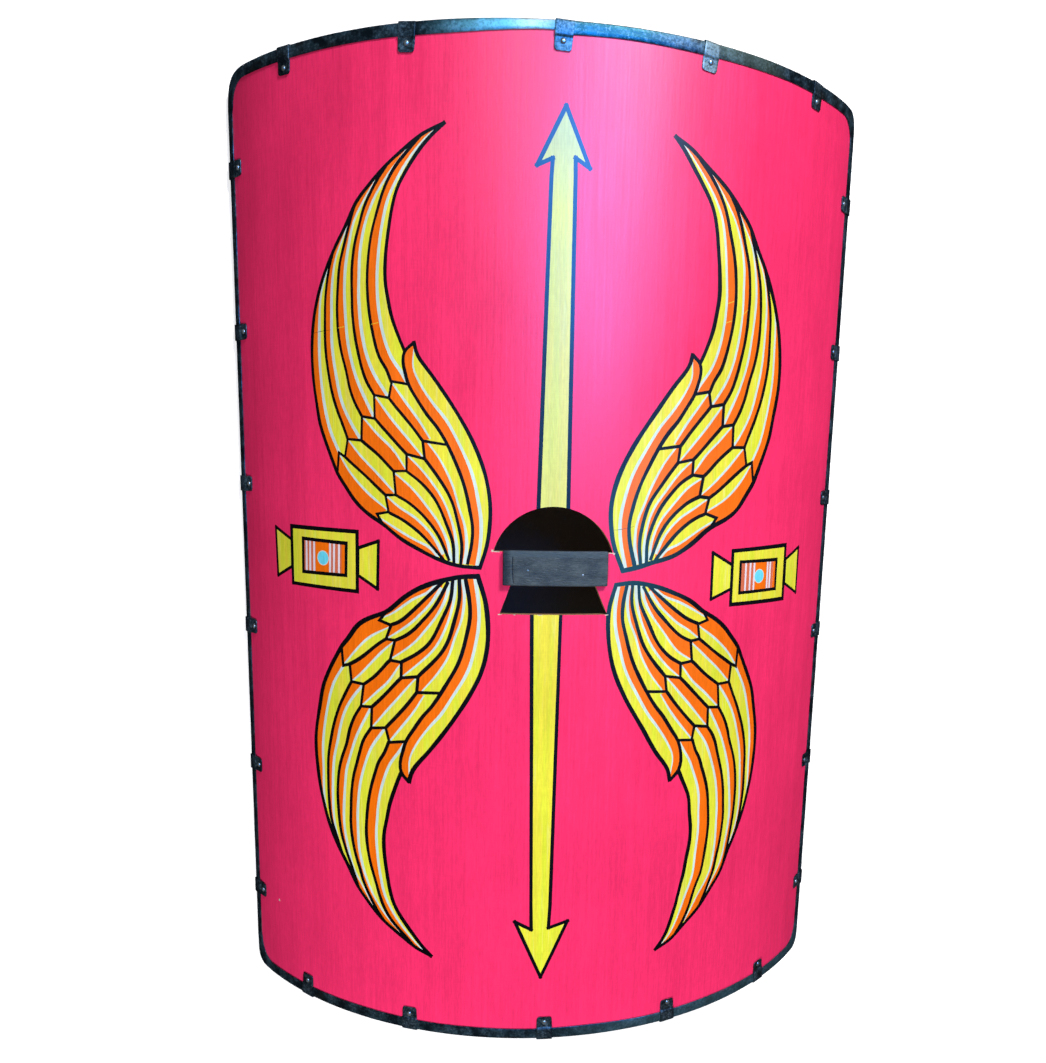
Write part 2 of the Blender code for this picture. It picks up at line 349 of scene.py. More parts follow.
def coat(outline, paint):
    """Lays one more coat of paint on the shield. Later coats cover earlier ones."""
    outline = np.array(outline, float)
    x, y = outline[:, 0], outline[:, 1]
    if (x * np.roll(y, -1) - y * np.roll(x, -1)).sum() < 0:
        outline = outline[::-1]
    coats.append((outline, paint))


print("paints:", ARROW_LINE_PAINTED_SHEEN + 1)

# %% [markdown]
# ## The wings
# The front carries two pairs of wings, the common ornament of such shields. Each wing has three rows of
# feathers and a long covert at its root. A feather is yellow on its inner half and orange on its outer half,
# with a pale shaft between them, and black lines part the feathers. The wing could be drawn four times. It is
# drawn once here, and all four are set out from it, each with its own slight stretch, because a hand never
# repeats itself exactly.

# %% The lines of one wing
outer_edge = [(106, 438), (129, 429), (147, 418), (169, 403), (189, 387), (204, 373), (219, 350), (232, 331),
              (246, 307), (257, 281), (263, 260), (266, 234), (264, 199), (260, 173), (256, 151), (249, 131),
              (241, 113), (235, 101), (225, 88), (213, 73), (199, 61), (180, 49), (160, 35), (138, 24),
              (117, 15), (96, 9), (75, 7)]
covert_inner = [(75, 7), (68, 31), (64, 63), (65, 80), (71, 106), (82, 134), (96, 159), (110, 180), (124, 199),
                (140, 220), (144, 233)]
covert_outer = [(144, 233), (154, 224), (156, 214), (154, 203), (150, 191), (141, 177), (130, 161), (120, 149),
                (110, 133), (100, 111), (92, 89), (86, 66), (83, 49), (84, 31), (88, 11)]
covert_shaft = [(144, 227), (145, 208), (137, 191), (124, 173), (110, 156), (96, 131), (85, 106), (78, 80),
                (74, 56), (75, 31), (78, 9)]
inner_edge = [(154, 224), (161, 239), (169, 259), (173, 278), (175, 294), (174, 315), (170, 341), (165, 363),
              (158, 381), (146, 399), (132, 416), (119, 428), (106, 438)]
long_partings = [
    [(169, 194), (174, 206), (182, 219), (189, 241), (194, 267), (195, 291), (193, 315), (188, 342), (180, 365),
     (171, 384), (159, 401), (149, 412), (140, 420), (131, 427)],
    [(188, 181), (196, 194), (202, 209), (210, 241), (213, 263), (213, 283), (212, 307), (208, 331), (202, 350),
     (195, 368), (189, 379), (182, 388), (171, 398), (160, 407)],
    [(203, 159), (211, 173), (217, 189), (221, 206), (227, 226), (231, 247), (232, 267), (230, 291), (227, 312),
     (221, 331), (216, 344), (212, 353), (205, 365), (197, 378)],
    [(220, 136), (226, 150), (233, 166), (239, 184), (244, 206), (248, 234), (248, 259), (246, 283), (243, 299),
     (238, 317), (231, 332)]]
long_shafts = [
    [(151, 192), (158, 203), (169, 219), (178, 242), (183, 267), (184, 291), (181, 323), (176, 350), (169, 371),
     (158, 389), (140, 412), (125, 426), (113, 434)],
    [(172, 179), (188, 203), (197, 224), (203, 251), (205, 275), (204, 299), (201, 328), (194, 354), (183, 375),
     (169, 392), (159, 404)],
    [(189, 158), (200, 180), (210, 203), (217, 227), (221, 254), (222, 283), (220, 307), (215, 331), (208, 354),
     (195, 374)],
    [(204, 136), (215, 151), (226, 172), (234, 203), (239, 234), (239, 267), (237, 294), (232, 318),
     (224, 340)],
    [(231, 121), (242, 143), (249, 170), (254, 203), (256, 235), (254, 273), (250, 291), (245, 304),
     (240, 317)]]
middle_partings = [
    [(171, 178), (155, 160), (145, 148), (135, 135)],
    [(188, 157), (171, 141), (152, 122)],
    [(203, 135), (183, 121), (166, 105)],
    [(224, 118), (199, 100), (176, 80)]]
middle_shafts = [
    [(168, 193), (151, 172), (139, 156), (127, 137)],
    [(187, 180), (168, 157), (151, 138), (134, 118)],
    [(202, 158), (186, 143), (167, 127), (152, 106)],
    [(219, 135), (204, 120), (184, 102), (165, 82)],
    [(231, 120), (219, 104), (199, 84), (174, 64)]]
short_partings = [
    [(133, 117), (120, 99), (105, 74), (98, 52), (94, 31), (95, 11)],
    [(151, 104), (137, 93), (121, 74), (110, 52), (103, 32), (102, 12)],
    [(164, 80), (148, 71), (131, 57), (118, 40), (107, 15)],
    [(172, 61), (153, 52), (137, 41), (123, 27), (111, 13)]]
short_shafts = [
    [(130, 134), (117, 116), (105, 91), (98, 70), (91, 50), (89, 28), (91, 11)],
    [(151, 121), (137, 107), (123, 89), (111, 70), (103, 50), (99, 28), (99, 12)],
    [(166, 104), (148, 89), (131, 70), (117, 52), (108, 32), (105, 14)],
    [(175, 79), (160, 67), (141, 56), (125, 41), (113, 21)],
    [(184, 56), (165, 45), (145, 35), (127, 27), (118, 18)]]
tips = {
    "upper_left": [(146.6, 416.6), (181, 391), (215.4, 351.7), (240.7, 308.9)],
    "upper_right": [(153.9, 413.1), (186.1, 386.2), (217.3, 354.5), (244, 315.4)],
    "lower_left": [(147.9, 416.6), (179.4, 391.1), (210.7, 358.4), (235, 323.3)],
    "lower_right": [(153.8, 412.4), (184.9, 387.1), (222.5, 345.1), (242, 312)]}
upper_zigzag = [(150, 191), (168, 194), (171, 178), (188, 181), (188, 157), (203, 159), (203, 135), (220, 136),
                (224, 118), (232, 122), (235, 103)]
lower_zigzag = [(109, 131), (135, 135), (133, 117), (152, 122), (152, 105), (166, 105), (164, 80), (176, 80),
                (173, 62), (187, 60), (180, 49)]
print("one wing has", 6 + len(long_partings + middle_partings + short_partings), "black lines")

# %% [markdown]
# ## Painting a wing
# The brush fills the whole wing with yellow first. Then come the orange halves of the feathers, the pale
# shafts and last the black lines, and the coats are laid in the same order here. The long feathers end one
# after another on the outer edge, each wing at its own places, so every parting is led to its tip and then on
# to the edge.

# %% Leading the lines to the tips
edge_line = smooth(outer_edge, 1.0)
first_tip = (106, 438)
parting_gap, shaft_gap, tip_run, tip_clear = 3.75, 2.2, 20, 18


def edge_place(tip):
    """The number of the point of the outer edge nearest to a tip."""
    return int(np.argmin(np.hypot(*(edge_line - tip).T)))


def closed(line, tip, gap, run):
    """A line led to within gap of the outer edge at a feather's tip, then onto the edge further on by run."""
    at = edge_place(tip)
    ahead = edge_line[at - 4] - edge_line[at + 4]
    outward = np.array([ahead[1], -ahead[0]]) / np.hypot(*ahead)
    kept = [point for point in line if point[1] < tip[1] and math.dist(point, tip) > tip_clear]
    end = [edge_line[at] - gap * outward]
    if run:
        end.append(edge_line[at - run])
    return np.array(kept + end, float)


def leaned(line, lean):
    """A line with its upper half bowed towards the outer edge."""
    share = np.linspace(0, 1, len(line))[:, None]
    bow = np.sin(np.pi * np.clip((share - 0.5) / 0.5, 0, 1))
    return np.array(line, float) + bow * (lean, 0.4 * lean)


print("the outer edge is cut into", len(edge_line), "steps of a millimetre")


# %% Painting a wing
def paint_wing(corner, place, shaft_width, lean, bold):
    """Lays the coats of one wing. place() moves a point of the first wing to where this one is."""
    ends = [edge_place(tip) for tip in [first_tip] + tips[corner]]
    partings = [closed(line, tip, parting_gap, tip_run) for line, tip in zip(long_partings, tips[corner])]
    shafts = [leaned(shaft, lean) for shaft in long_shafts]
    shafts[1:] = [closed(shaft, tip, shaft_gap, 0) for shaft, tip in zip(shafts[1:], tips[corner])]

    def line(points):
        return place(smooth(points))

    def back(points):
        return line(points)[::-1]

    def sharp(points):
        return place(np.array(points, float))

    def half_feather(*sides):
        coat(np.vstack(sides), ORANGE)

    def outline(points, width, **ends):
        coat(stroke(points, width * bold, **ends), BLACK)

    whole = [line(outer_edge), line(covert_inner)[1:], line(covert_outer[:2])[1:], line(inner_edge)[1:-1]]
    coat(np.vstack(whole), YELLOW)
    half_feather(line(covert_shaft), back(covert_outer))
    upper_corners = [sharp([point]) for point in upper_zigzag[1::2]]
    lower_corners = [sharp([point]) for point in lower_zigzag[1::2]]
    for k, parting in enumerate(partings):
        tip_side = place(edge_line[ends[k]:ends[k + 1] - tip_run][::-5])
        half_feather(back(shafts[k]), upper_corners[k], line(parting), tip_side)
    half_feather(back(shafts[4]), back(outer_edge[8:18]))
    for k, parting in enumerate(middle_partings):
        half_feather(upper_corners[k], line(middle_shafts[k]), lower_corners[k], back(parting))
    half_feather(line(middle_shafts[4]), sharp(lower_zigzag[9:]), back(outer_edge[17:22]))
    for k, parting in enumerate(short_partings):
        half_feather(lower_corners[k], line(short_shafts[k]), back(parting))
    half_feather(line(short_shafts[4]), back(outer_edge[21:25]))
    for shaft in shafts:
        coat(stroke(line(shaft), shaft_width, end=0.4, past=0), PALE)
    coat(stroke(line(covert_shaft), 3.2, start=0.4, end=1.3, past=0), PALE)
    for shaft in middle_shafts:
        coat(stroke(line(shaft), 2.6, start=0.7, end=0.6, past=0), PALE)
    for shaft in short_shafts:
        coat(stroke(line(shaft), 2.4, start=0.7, end=1.6, past=0), PALE)
    for parting in partings + middle_partings + short_partings:
        outline(line(parting), 3.3)
    for zigzag in (upper_zigzag, lower_zigzag):
        outline(sharp(zigzag), 2.9)
    outline(line(inner_edge), 3.8, past=1.5)
    outline(line(covert_outer), 3.5, past=0.8)
    outline(line(covert_inner), 4.0, past=1.6)
    outline(line(outer_edge), 4.2, start=0.8, past=1.6)


# %% [markdown]
# ## Four wings from one
# A plain mirror would make all four wings alike. Instead the first wing is laid over pins like a sheet of
# rubber, each pin moves by a few millimetres, and the thin-plate rule carries everything between the pins
# along smoothly.

# %% Pins and their shifts
pins = [
    (106, 438), (75, 7), (265, 209), (104, 172), (210, 70), (222, 346), (167, 254), (120, 84), (193, 158),
    (169, 400), (257, 281), (138, 24), (245, 122), (64, 69), (174, 315), (156, 199), (169, 108),
    (219, 238), (78, 125), (145, 148), (213, 292), (236, 175), (167, 59), (102, 45), (182, 361),
    (198, 199), (208, 124), (242, 315), (120, 121), (256, 245), (136, 416), (143, 229), (107, 12),
    (124, 199), (185, 227), (256, 151), (184, 281), (67, 36), (235, 208), (164, 171), (131, 57), (82, 96),
    (229, 92), (202, 323), (232, 267), (148, 89),
    (146, 399), (158, 381), (165, 363), (171, 338), (196, 380)]
shifts = {
    "upper_left": [
        (6.8, -3.3), (-0.1, 1.2), (0.8, -1.8), (0.3, 0.1), (-0.8, -1.9), (1.3, -5), (-0.9, -0.9), (-1.5, 0.1),
        (-0.1, 0.1), (4.2, -4.1), (0.1, -2.9), (0.3, 0), (-0.1, -0.3), (0.9, 1.3), (0.1, -2.2), (-0.2, 0.5),
        (1.1, -1), (0.2, -1.4), (0.8, 1.3), (0.1, 0), (0.2, -1.6), (0.9, -0.8), (0.3, 0.3), (-0.1, 0),
        (1.3, -3.7), (0.6, -1.1), (1.5, -0.8), (0.3, -3.5), (-0.2, 0.9), (-0.5, -2.1), (4.6, -3.2),
        (-0.1, -0.9), (0.1, -0.1), (-0.2, -0.5), (0.1, -0.7), (1, 0), (-0.7, -1.2), (-0.1, 1.1), (0.3, -1.7),
        (0.9, -0.4), (1.1, 0.1), (-0.2, 1.3), (-0.3, -1.6), (0.8, -2.3), (-0.4, -1.8), (0.6, 0),
        (3.8, -3.2), (2.8, -3.4), (1.5, -3.2), (0.6, -2.7), (2.6, -4.9)],
    "upper_right": [
        (6.4, -3.4), (-2.2, -0.4), (-0.5, -4.1), (-0.9, -1.6), (-3.1, -2.8), (0.7, -8.3), (-3.7, -4.5),
        (-3.6, 3.5), (-4.5, 1.4), (4.6, -8.3), (-1.9, -5.3), (-6, -1.6), (-3.8, -3), (-5.8, 3.2), (-3.6, -5.4),
        (-3.7, -1.3), (-3.7, 0), (-3.6, -2.7), (-2.4, 1.7), (-2.6, 1.2), (-1.1, -4.4), (-3.7, 0.5),
        (-6.6, 4.9), (-3.8, 6.9), (0, -9.7), (-4, -0.8), (-3.9, 1.5), (-1.9, -5), (-2.1, 2.6), (-2.6, -4.6),
        (-0.5, -4.2), (-1.8, -3.5), (-3.5, 2.6), (-2.2, -2.9), (-3.8, -2.6), (-2.3, -2.3), (-3.5, -4.5),
        (-5.7, 1.3), (-3.3, -0.9), (-3.1, 0.5), (-5.7, 5), (-3.9, 4.7), (-2.8, -2.4), (-0.6, -4.9),
        (-2.9, -3.9), (-4.6, 4.2),
        (0.0, -6.0), (0.6, -8.0), (-0.9, -8.7), (-2.7, -7.2), (3.5, -10.5)],
    "lower_left": [
        (21.2, -6.1), (1.9, -6.2), (8.5, -13.5), (4.7, -5.6), (-0.7, -10.9), (12.8, -10.8), (5.9, -1.8),
        (4.1, -3.4), (7.6, -6.7), (16.8, -5.7), (7.9, -11.5), (2.2, -7.2), (0.7, -15.9), (2.1, -1.5),
        (9, -4.6), (5.3, -6.1), (7, -9.1), (11.3, -9.3), (4.7, -1), (6.9, -6.8), (12.8, -5.7), (5.5, -11.1),
        (-1.4, -3.5), (3.3, -4.9), (12.5, -8.5), (9.6, -7.7), (0.4, -9.8), (10.6, -10.3), (7.7, -4.1),
        (7, -11.5), (14, -4.4), (8, -3.2), (1.2, -6.6), (4.7, -6.4), (6.8, -5.1), (4.8, -15.4), (6.9, -2.4),
        (1.1, -4.1), (6.8, -11.7), (8, -6), (5.6, -5.8), (2.8, 0.2), (-1.4, -12.7), (12.4, -6.7), (11.1, -8.8),
        (6.5, -6.6),
        (13.6, -4.5), (13.4, -5.6), (11.9, -6.8), (10.3, -6.4), (15.2, -9.3)],
    "lower_right": [
        (22.5, -5.6), (-8.9, 1), (-4.5, -17.6), (-1.9, -3.9), (-12.7, -12.7), (4.6, -17.8), (-5.6, -4.8),
        (-9.2, -6.2), (-4.2, -6), (12.3, -9.2), (-3.4, -19.8), (-6, -5.7), (-11.5, -16.2), (-3.4, 2.2),
        (-6.8, -7.2), (-4.5, -6.8), (-7.3, -10.3), (-1.5, -12.5), (-1.2, -1.2), (-6.6, -8.4), (1.4, -11.2),
        (-5.3, -9.8), (-7.8, -7.1), (-9, -5.3), (3, -10.4), (-3.7, -10), (-8.6, -11.8), (0.5, -18.9),
        (-5.9, -6.6), (-4.8, -17.3), (10.7, -4.4), (-6.5, -3.2), (-10.7, -4.3), (-5.4, -3.8), (-6.4, -7.7),
        (-7.1, -14.4), (-6.5, -6.4), (-7.9, 1.9), (-3.6, -13.5), (-5.6, -8.1), (-5.4, -6.6), (-4.4, -1.3),
        (-12.3, -15.2), (1.4, -11.2), (-0.6, -14.2), (-7.7, -6),
        (2.8, -6.1), (-3.6, -8.6), (-6.3, -9.1), (-7.0, -8.4), (9.0, -14.0)]}
print("pins under a wing:", len(pins), "with shifts for", ", ".join(shifts))


# %% Setting the wings out
def bending_energy(places, others):
    """The thin-plate rule: how much one pin pulls on a place at a distance."""
    gap = ((places[:, None] - others[None]) ** 2).sum(2) / 1e4
    return 0.5 * gap * np.log(gap + 1e-12)


def pinned(side, up, corner):
    """A copy of the first wing, mirrored by side and up and stretched so that each pin moves by its shift."""
    at = np.array(pins, float)
    level = np.hstack([np.ones((len(at), 1)), at / 100])
    system = np.block([[bending_energy(at, at), level], [level.T, np.zeros((3, 3))]])
    pulls = np.linalg.solve(system, np.vstack([np.array(shifts[corner]), np.zeros((3, 2))]))

    def place(points):
        slope = np.hstack([np.ones((len(points), 1)), points / 100])
        moved = points + np.hstack([bending_energy(points, at), slope]) @ pulls
        return moved * (side, up)

    return place


# A row holds the corner, its side and up, the width and lean of the shafts, and how bold the lines are.
for corner, side, up, shaft_width, lean, bold in (
        ("upper_left", -1, 1, 3.5, 0.0, 1.0),
        ("upper_right", 1, 1, 2.8, 1.6, 1.22),
        ("lower_left", -1, -1, 3.3, 1.4, 1.22),
        ("lower_right", 1, -1, 2.9, 1.6, 1.18)):
    paint_wing(corner, pinned(side, up, corner), shaft_width, lean, bold)
print("coats of paint after the wings:", len(coats))

# %% [markdown]
# ## The arrow and the two panels
# A double-headed arrow runs up the middle, and a small panel with a trapezoid handle at each end sits at either
# side. Their sides are straight, so corners are enough and no curve is needed. Each shape is filled and then
# lined. The arrow's line has a paint number of its own, because a painted reflection of the blue sheen turns it
# blue on its way to the upper head.

# %% The arrow
def ring(points, width, paint):
    """A line round a closed shape, one straight stroke for each side."""
    for one, two in zip(points, points[1:] + points[:1]):
        coat(stroke([one, two], width, past=width / 2), paint)


upper_arrow = [(-16.4, 66), (-9.8, 387), (-8.8, 404.2), (-23.5, 397.5), (3, 451.3), (26.9, 396.9), (13, 405.4),
               (13.4, 387), (13.9, 66)]
lower_arrow = [(-21.3, -30), (-16.6, -363.5), (-15.9, -392.9), (-33.8, -383.6), (-4.7, -450.2), (23.8, -383.6),
               (2.9, -391.1), (4.2, -363.9), (8.8, -30)]
for arrow, width in ((upper_arrow, 4.2), (lower_arrow, 3.9)):
    coat(arrow, YELLOW)
    ring(arrow, width, ARROW_LINE_PAINTED_SHEEN)
print("coats of paint after the arrow:", len(coats))


# %% The panels
def paint_panel(frame_corners, window, ears, disc, stripes, block):
    """A framed panel. Corners run from the top left clockwise. Stripes and block are shares of the width."""
    for ear in ears:
        coat(ear, YELLOW)
        ring(ear, 3.6, BLACK)
    coat(frame_corners, YELLOW)
    ring(frame_corners, 4.3, BLACK)
    coat(window, ROSE)
    top_left, top_right, low_right, low_left = [np.array(corner) for corner in window]

    def across(share):
        return top_left + (top_right - top_left) * share, low_left + (low_right - low_left) * share

    for share in stripes:
        coat(stroke(across(share), 2.7, past=0), LILAC)
    for left, right in (block, (0.9, 1.0)):
        coat([across(left)[0], across(right)[0], across(right)[1], across(left)[1]], ORANGE)
    turn = np.linspace(0, 2 * math.pi, 33)[:-1]
    rim_of_disc, disc_radius = 8.1, 7.3
    for radius, paint in ((rim_of_disc, PALE), (disc_radius, SKY)):
        coat(np.stack([disc[0] + radius * np.cos(turn), disc[1] + radius * np.sin(turn)], axis=1), paint)
    ring(window, 3.8, BLACK)


paint_panel([(-304.4, 39.7), (-211.2, 39.4), (-212, -24.7), (-304.2, -23.7)],
            [(-286.3, 27.5), (-225.2, 26.2), (-226.3, -8.5), (-287, -9.3)],
            ([(-332.1, 37.1), (-304.9, 25), (-305.3, -5.4), (-330.4, -17.9)],
             [(-210.3, 22.1), (-185.5, 30.8), (-187, -20.1), (-210.8, -7)]),
            (-257.2, 8.1), (0.088, 0.177, 0.274, 0.647, 0.735, 0.845), (0.31, 0.62))
paint_panel([(207.6, 24.5), (296.9, 27), (297.5, -36.3), (208, -35.6)],
            [(220.1, 11.6), (280.7, 11.1), (281, -23.1), (220.4, -23.3)],
            ([(179.6, 23.6), (207.5, 8.9), (208, -17.6), (180, -27.8)],
             [(298.8, 10.2), (325.9, 22.8), (326.3, -31.9), (299.4, -18.4)]),
            (250.8, -6.1), (0.139, 0.256, 0.361, 0.738, 0.813, 0.92), (0.40, 0.70))
print("coats of paint after the panels:", len(coats))

# %% [markdown]
# ## The board
# The paint lies flush on the wood, so it must not be raised. The way to get crisp, flush colour in geometry
# is to cut the face along every edge of paint. A constrained Delaunay triangulation takes all outlines at
# once, and the topmost coat over a triangle gives its paint, which is stored as a number on the face. The
# back gets a coarser net of its own, and walls of plywood join the two round the edge and in both hand holes.

# %% Outlines of the board and its holes
def round_box(inset):
    """The shield's outline in millimetres, moved inwards by an inset."""
    radius = (corner_radius - inset) * 1000
    points = []
    for quarter, (sx, sy) in enumerate(((1, 1), (-1, 1), (-1, -1), (1, -1))):
        for k in range(13):
            angle = math.radians(90 * quarter + 90 * k / 12)
            points.append((sx * (half_arc - corner_radius) * 1000 + radius * math.cos(angle),
                           sy * (half_height - corner_radius) * 1000 + radius * math.sin(angle)))
    return points


chord, rise, sill = 61.5, 46.8, 25.7
arch_radius = (chord ** 2 + rise ** 2) / (2 * rise)
arch_centre = sill + rise - arch_radius
first = math.atan2(sill - arch_centre, chord)
arch = [(arch_radius * math.cos(t), arch_centre + arch_radius * math.sin(t))
        for t in np.linspace(first, math.pi - first, 41)]
trapezoid = [(-54.5, -39.6), (57.5, -39.3), (42.7, -5.0), (-42.0, -5.0)]
board_edge = round_box(0.0013)
print("upper hand hole radius in mm", round(arch_radius, 2))

# %% [markdown]
# ## Small signs of use
# The paint is chipped to the wood at the corners of the hand holes, a thin chalky line follows parts of the
# rim, and a few nicks and hairline cracks cross the wings. A texture could scatter such marks, but these few
# have their own places, so each is one more coat with a ragged or tapering outline.

# %% Small signs of use
chalk_inset = 0.0118
inside_rim = np.array(round_box(chalk_inset))
for run in (inside_rim[20:36], np.vstack([inside_rim[45:], inside_rim[:9]])):
    aside = 2.0 * (run[:, :1] < 0)
    coat(stroke(smooth(run + aside * (-1, 0), 6.0), 0.9, start=0.3, end=0.3, waver=0.5), CHALK)
chips = [(-58.5, 25.4, 9.0, 1.1), (-62.3, 26.3, 2.4, 2.6), (60.0, 25.3, 7.0, 1.2), (63.0, 24.6, 2.0, 2.2),
         (-54.5, -40.0, 4.0, 1.2), (-13.0, -39.9, 5.0, 0.9), (57.0, -39.8, 4.0, 1.1), (-39.0, -39.9, 2.6, 0.8),
         (-348.7, -421.6, 3.2, 3.2)]
for x, y, wide, high in chips:
    turn = np.linspace(0, 2 * math.pi, 9)[:-1]
    ragged = 1 + 0.35 * np.sin(turn * 3 + x)
    coat(np.stack([x + wide / 2 * ragged * np.cos(turn), y + high / 2 * ragged * np.sin(turn)], axis=1), BARE)
nicks = [(-230, 248, 1.0), (-190, 250.5, 1.2), (183, 284, 2.5), (182, 264.5, 2.5), (203, 274, 6.0)]
for x, y, climb in nicks:
    coat(stroke(np.array([(x, y), (x + 6.5, y + climb)], float), 1.1, start=0.4, end=0.4), YELLOW)
for crack in ([(-263, 244), (-252, 245.5), (-241, 246.3)], [(59, 49), (70, 50), (83, 53)]):
    coat(stroke(np.array(crack, float), 0.5, start=0.4, end=0.4), BLACK)
print("chips:", len(chips), "and coats of paint in all:", len(coats))


# %% Helpers that cut a face
def finely(outline, step=7.0):
    """A closed outline with no side longer than a step, so that it can follow the curve."""
    fine = []
    for one, two in zip(outline, np.roll(outline, -1, axis=0)):
        count = max(1, int(math.ceil(abs(two[0] - one[0]) / step)))
        fine += [one + (two - one) * k / count for k in range(count)]
    return np.array(fine)


def covered(places, outline):
    """Which places lie inside a closed outline, by counting how often it winds round them."""
    found = np.zeros(len(places), bool)
    low, high = outline.min(0), outline.max(0)
    near = np.nonzero(((places >= low) & (places <= high)).all(1))[0]
    x, y = places[near, 0][:, None], places[near, 1][:, None]
    ax, ay = outline[:, 0][None], outline[:, 1][None]
    bx, by = np.roll(ax, -1), np.roll(ay, -1)
    left = (bx - ax) * (y - ay) - (x - ax) * (by - ay)
    winding = ((ay <= y) & (by > y) & (left > 0)).sum(1) - ((ay > y) & (by <= y) & (left < 0)).sum(1)
    found[near] = winding != 0
    return found


def net(across, up):
    """Loose points all over the board, every other row moved by half a step."""
    points = []
    for row, y in enumerate(np.arange(-520, 520.1, up)):
        shift = across / 2 if row % 2 else 0.0
        points += [(x + shift, y) for x in np.arange(-400, 400.1, across)]
    return points


def triangulate(outlines, points):
    """Triangles over closed outlines and loose points, none of which crosses an outline."""
    coords = [Vector(p) for p in points]
    sides = []
    for outline in outlines:
        first = len(coords)
        coords += [Vector((float(x), float(y))) for x, y in outline]
        sides += [(first + k, first + (k + 1) % len(outline)) for k in range(len(outline))]
    made = delaunay_2d_cdt(coords, sides, [], 0, 1e-3)
    return np.array([(p.x, p.y) for p in made[0]]), np.array(made[2])


def on_wood(places):
    """Which places lie on the board and outside both hand holes."""
    return covered(places, board_edge) & ~covered(places, arch) & ~covered(places, trapezoid)


board_edge, arch, trapezoid = [finely(np.array(shape)) for shape in (board_edge, arch, trapezoid)]
print("points on the outline of the board:", len(board_edge))

# %% The painted face
painted = [finely(line) for line, paint in coats]
corners, triangles = triangulate([board_edge, arch, trapezoid] + painted, net(7.0, 9.0))
centres = corners[triangles].mean(1)
wood = on_wood(centres)
colours = np.full(len(triangles), RED)
for outline, paint in coats:
    colours[covered(centres, outline)] = paint
board = bmesh.new()
paint_layer = board.faces.layers.int.new("paint")
front = [board.verts.new((x / 1000, y / 1000, board_half)) for x, y in corners]
for triangle, paint in zip(triangles[wood], colours[wood]):
    made = board.faces.new([front[k] for k in triangle])
    made.smooth = True
    made[paint_layer] = int(paint)
bmesh.ops.delete(board, geom=[v for v in board.verts if not v.link_faces], context="VERTS")
board.normal_update()
print("painted face:", len(board.faces), "triangles, facing up:", board.faces[:][0].normal.z > 0)

# %% The walls and the back
borders = [edge for edge in board.edges if len(edge.link_faces) == 1]
below = {}
for edge in borders:
    for vert in edge.verts:
        if vert not in below:
            below[vert] = board.verts.new((vert.co.x, vert.co.y, -board_half))
for edge in borders:
    one = [step.vert for step in edge.link_faces[0].loops if step.edge == edge][0]
    two = edge.other_vert(one)
    board.faces.new([two, one, below[one], below[two]]).material_index = 1
tops = list(below)
spots = {vert: number for number, vert in enumerate(tops)}
points = [Vector((v.co.x * 1000, v.co.y * 1000)) for v in tops]
points += [Vector(p) for p in net(12.0, 17.0)]
ties = [(spots[edge.verts[0]], spots[edge.verts[1]]) for edge in borders]
made = delaunay_2d_cdt(points, ties, [], 0, 1e-5)
back = []
for place, sources in zip(made[0], made[3]):
    tied = [number for number in sources if number < len(tops)]
    if tied:
        back.append(below[tops[tied[0]]])
    else:
        back.append(board.verts.new((place.x / 1000, place.y / 1000, -board_half)))
corners = np.array([(p.x, p.y) for p in made[0]])
triangles = np.array(made[2])
for triangle in triangles[on_wood(corners[triangles].mean(1))]:
    face = board.faces.new([back[k] for k in reversed(triangle)])
    face.smooth = True
    face.material_index = 1
bmesh.ops.delete(board, geom=[v for v in board.verts if not v.link_faces], context="VERTS")
open_edges = [edge for edge in board.edges if len(edge.link_faces) != 2]
print("whole board:", len(board.faces), "faces,", len(open_edges), "open edges")
board_mesh = bpy.data.meshes.new("painted_board")
board.to_mesh(board_mesh)
board.free()
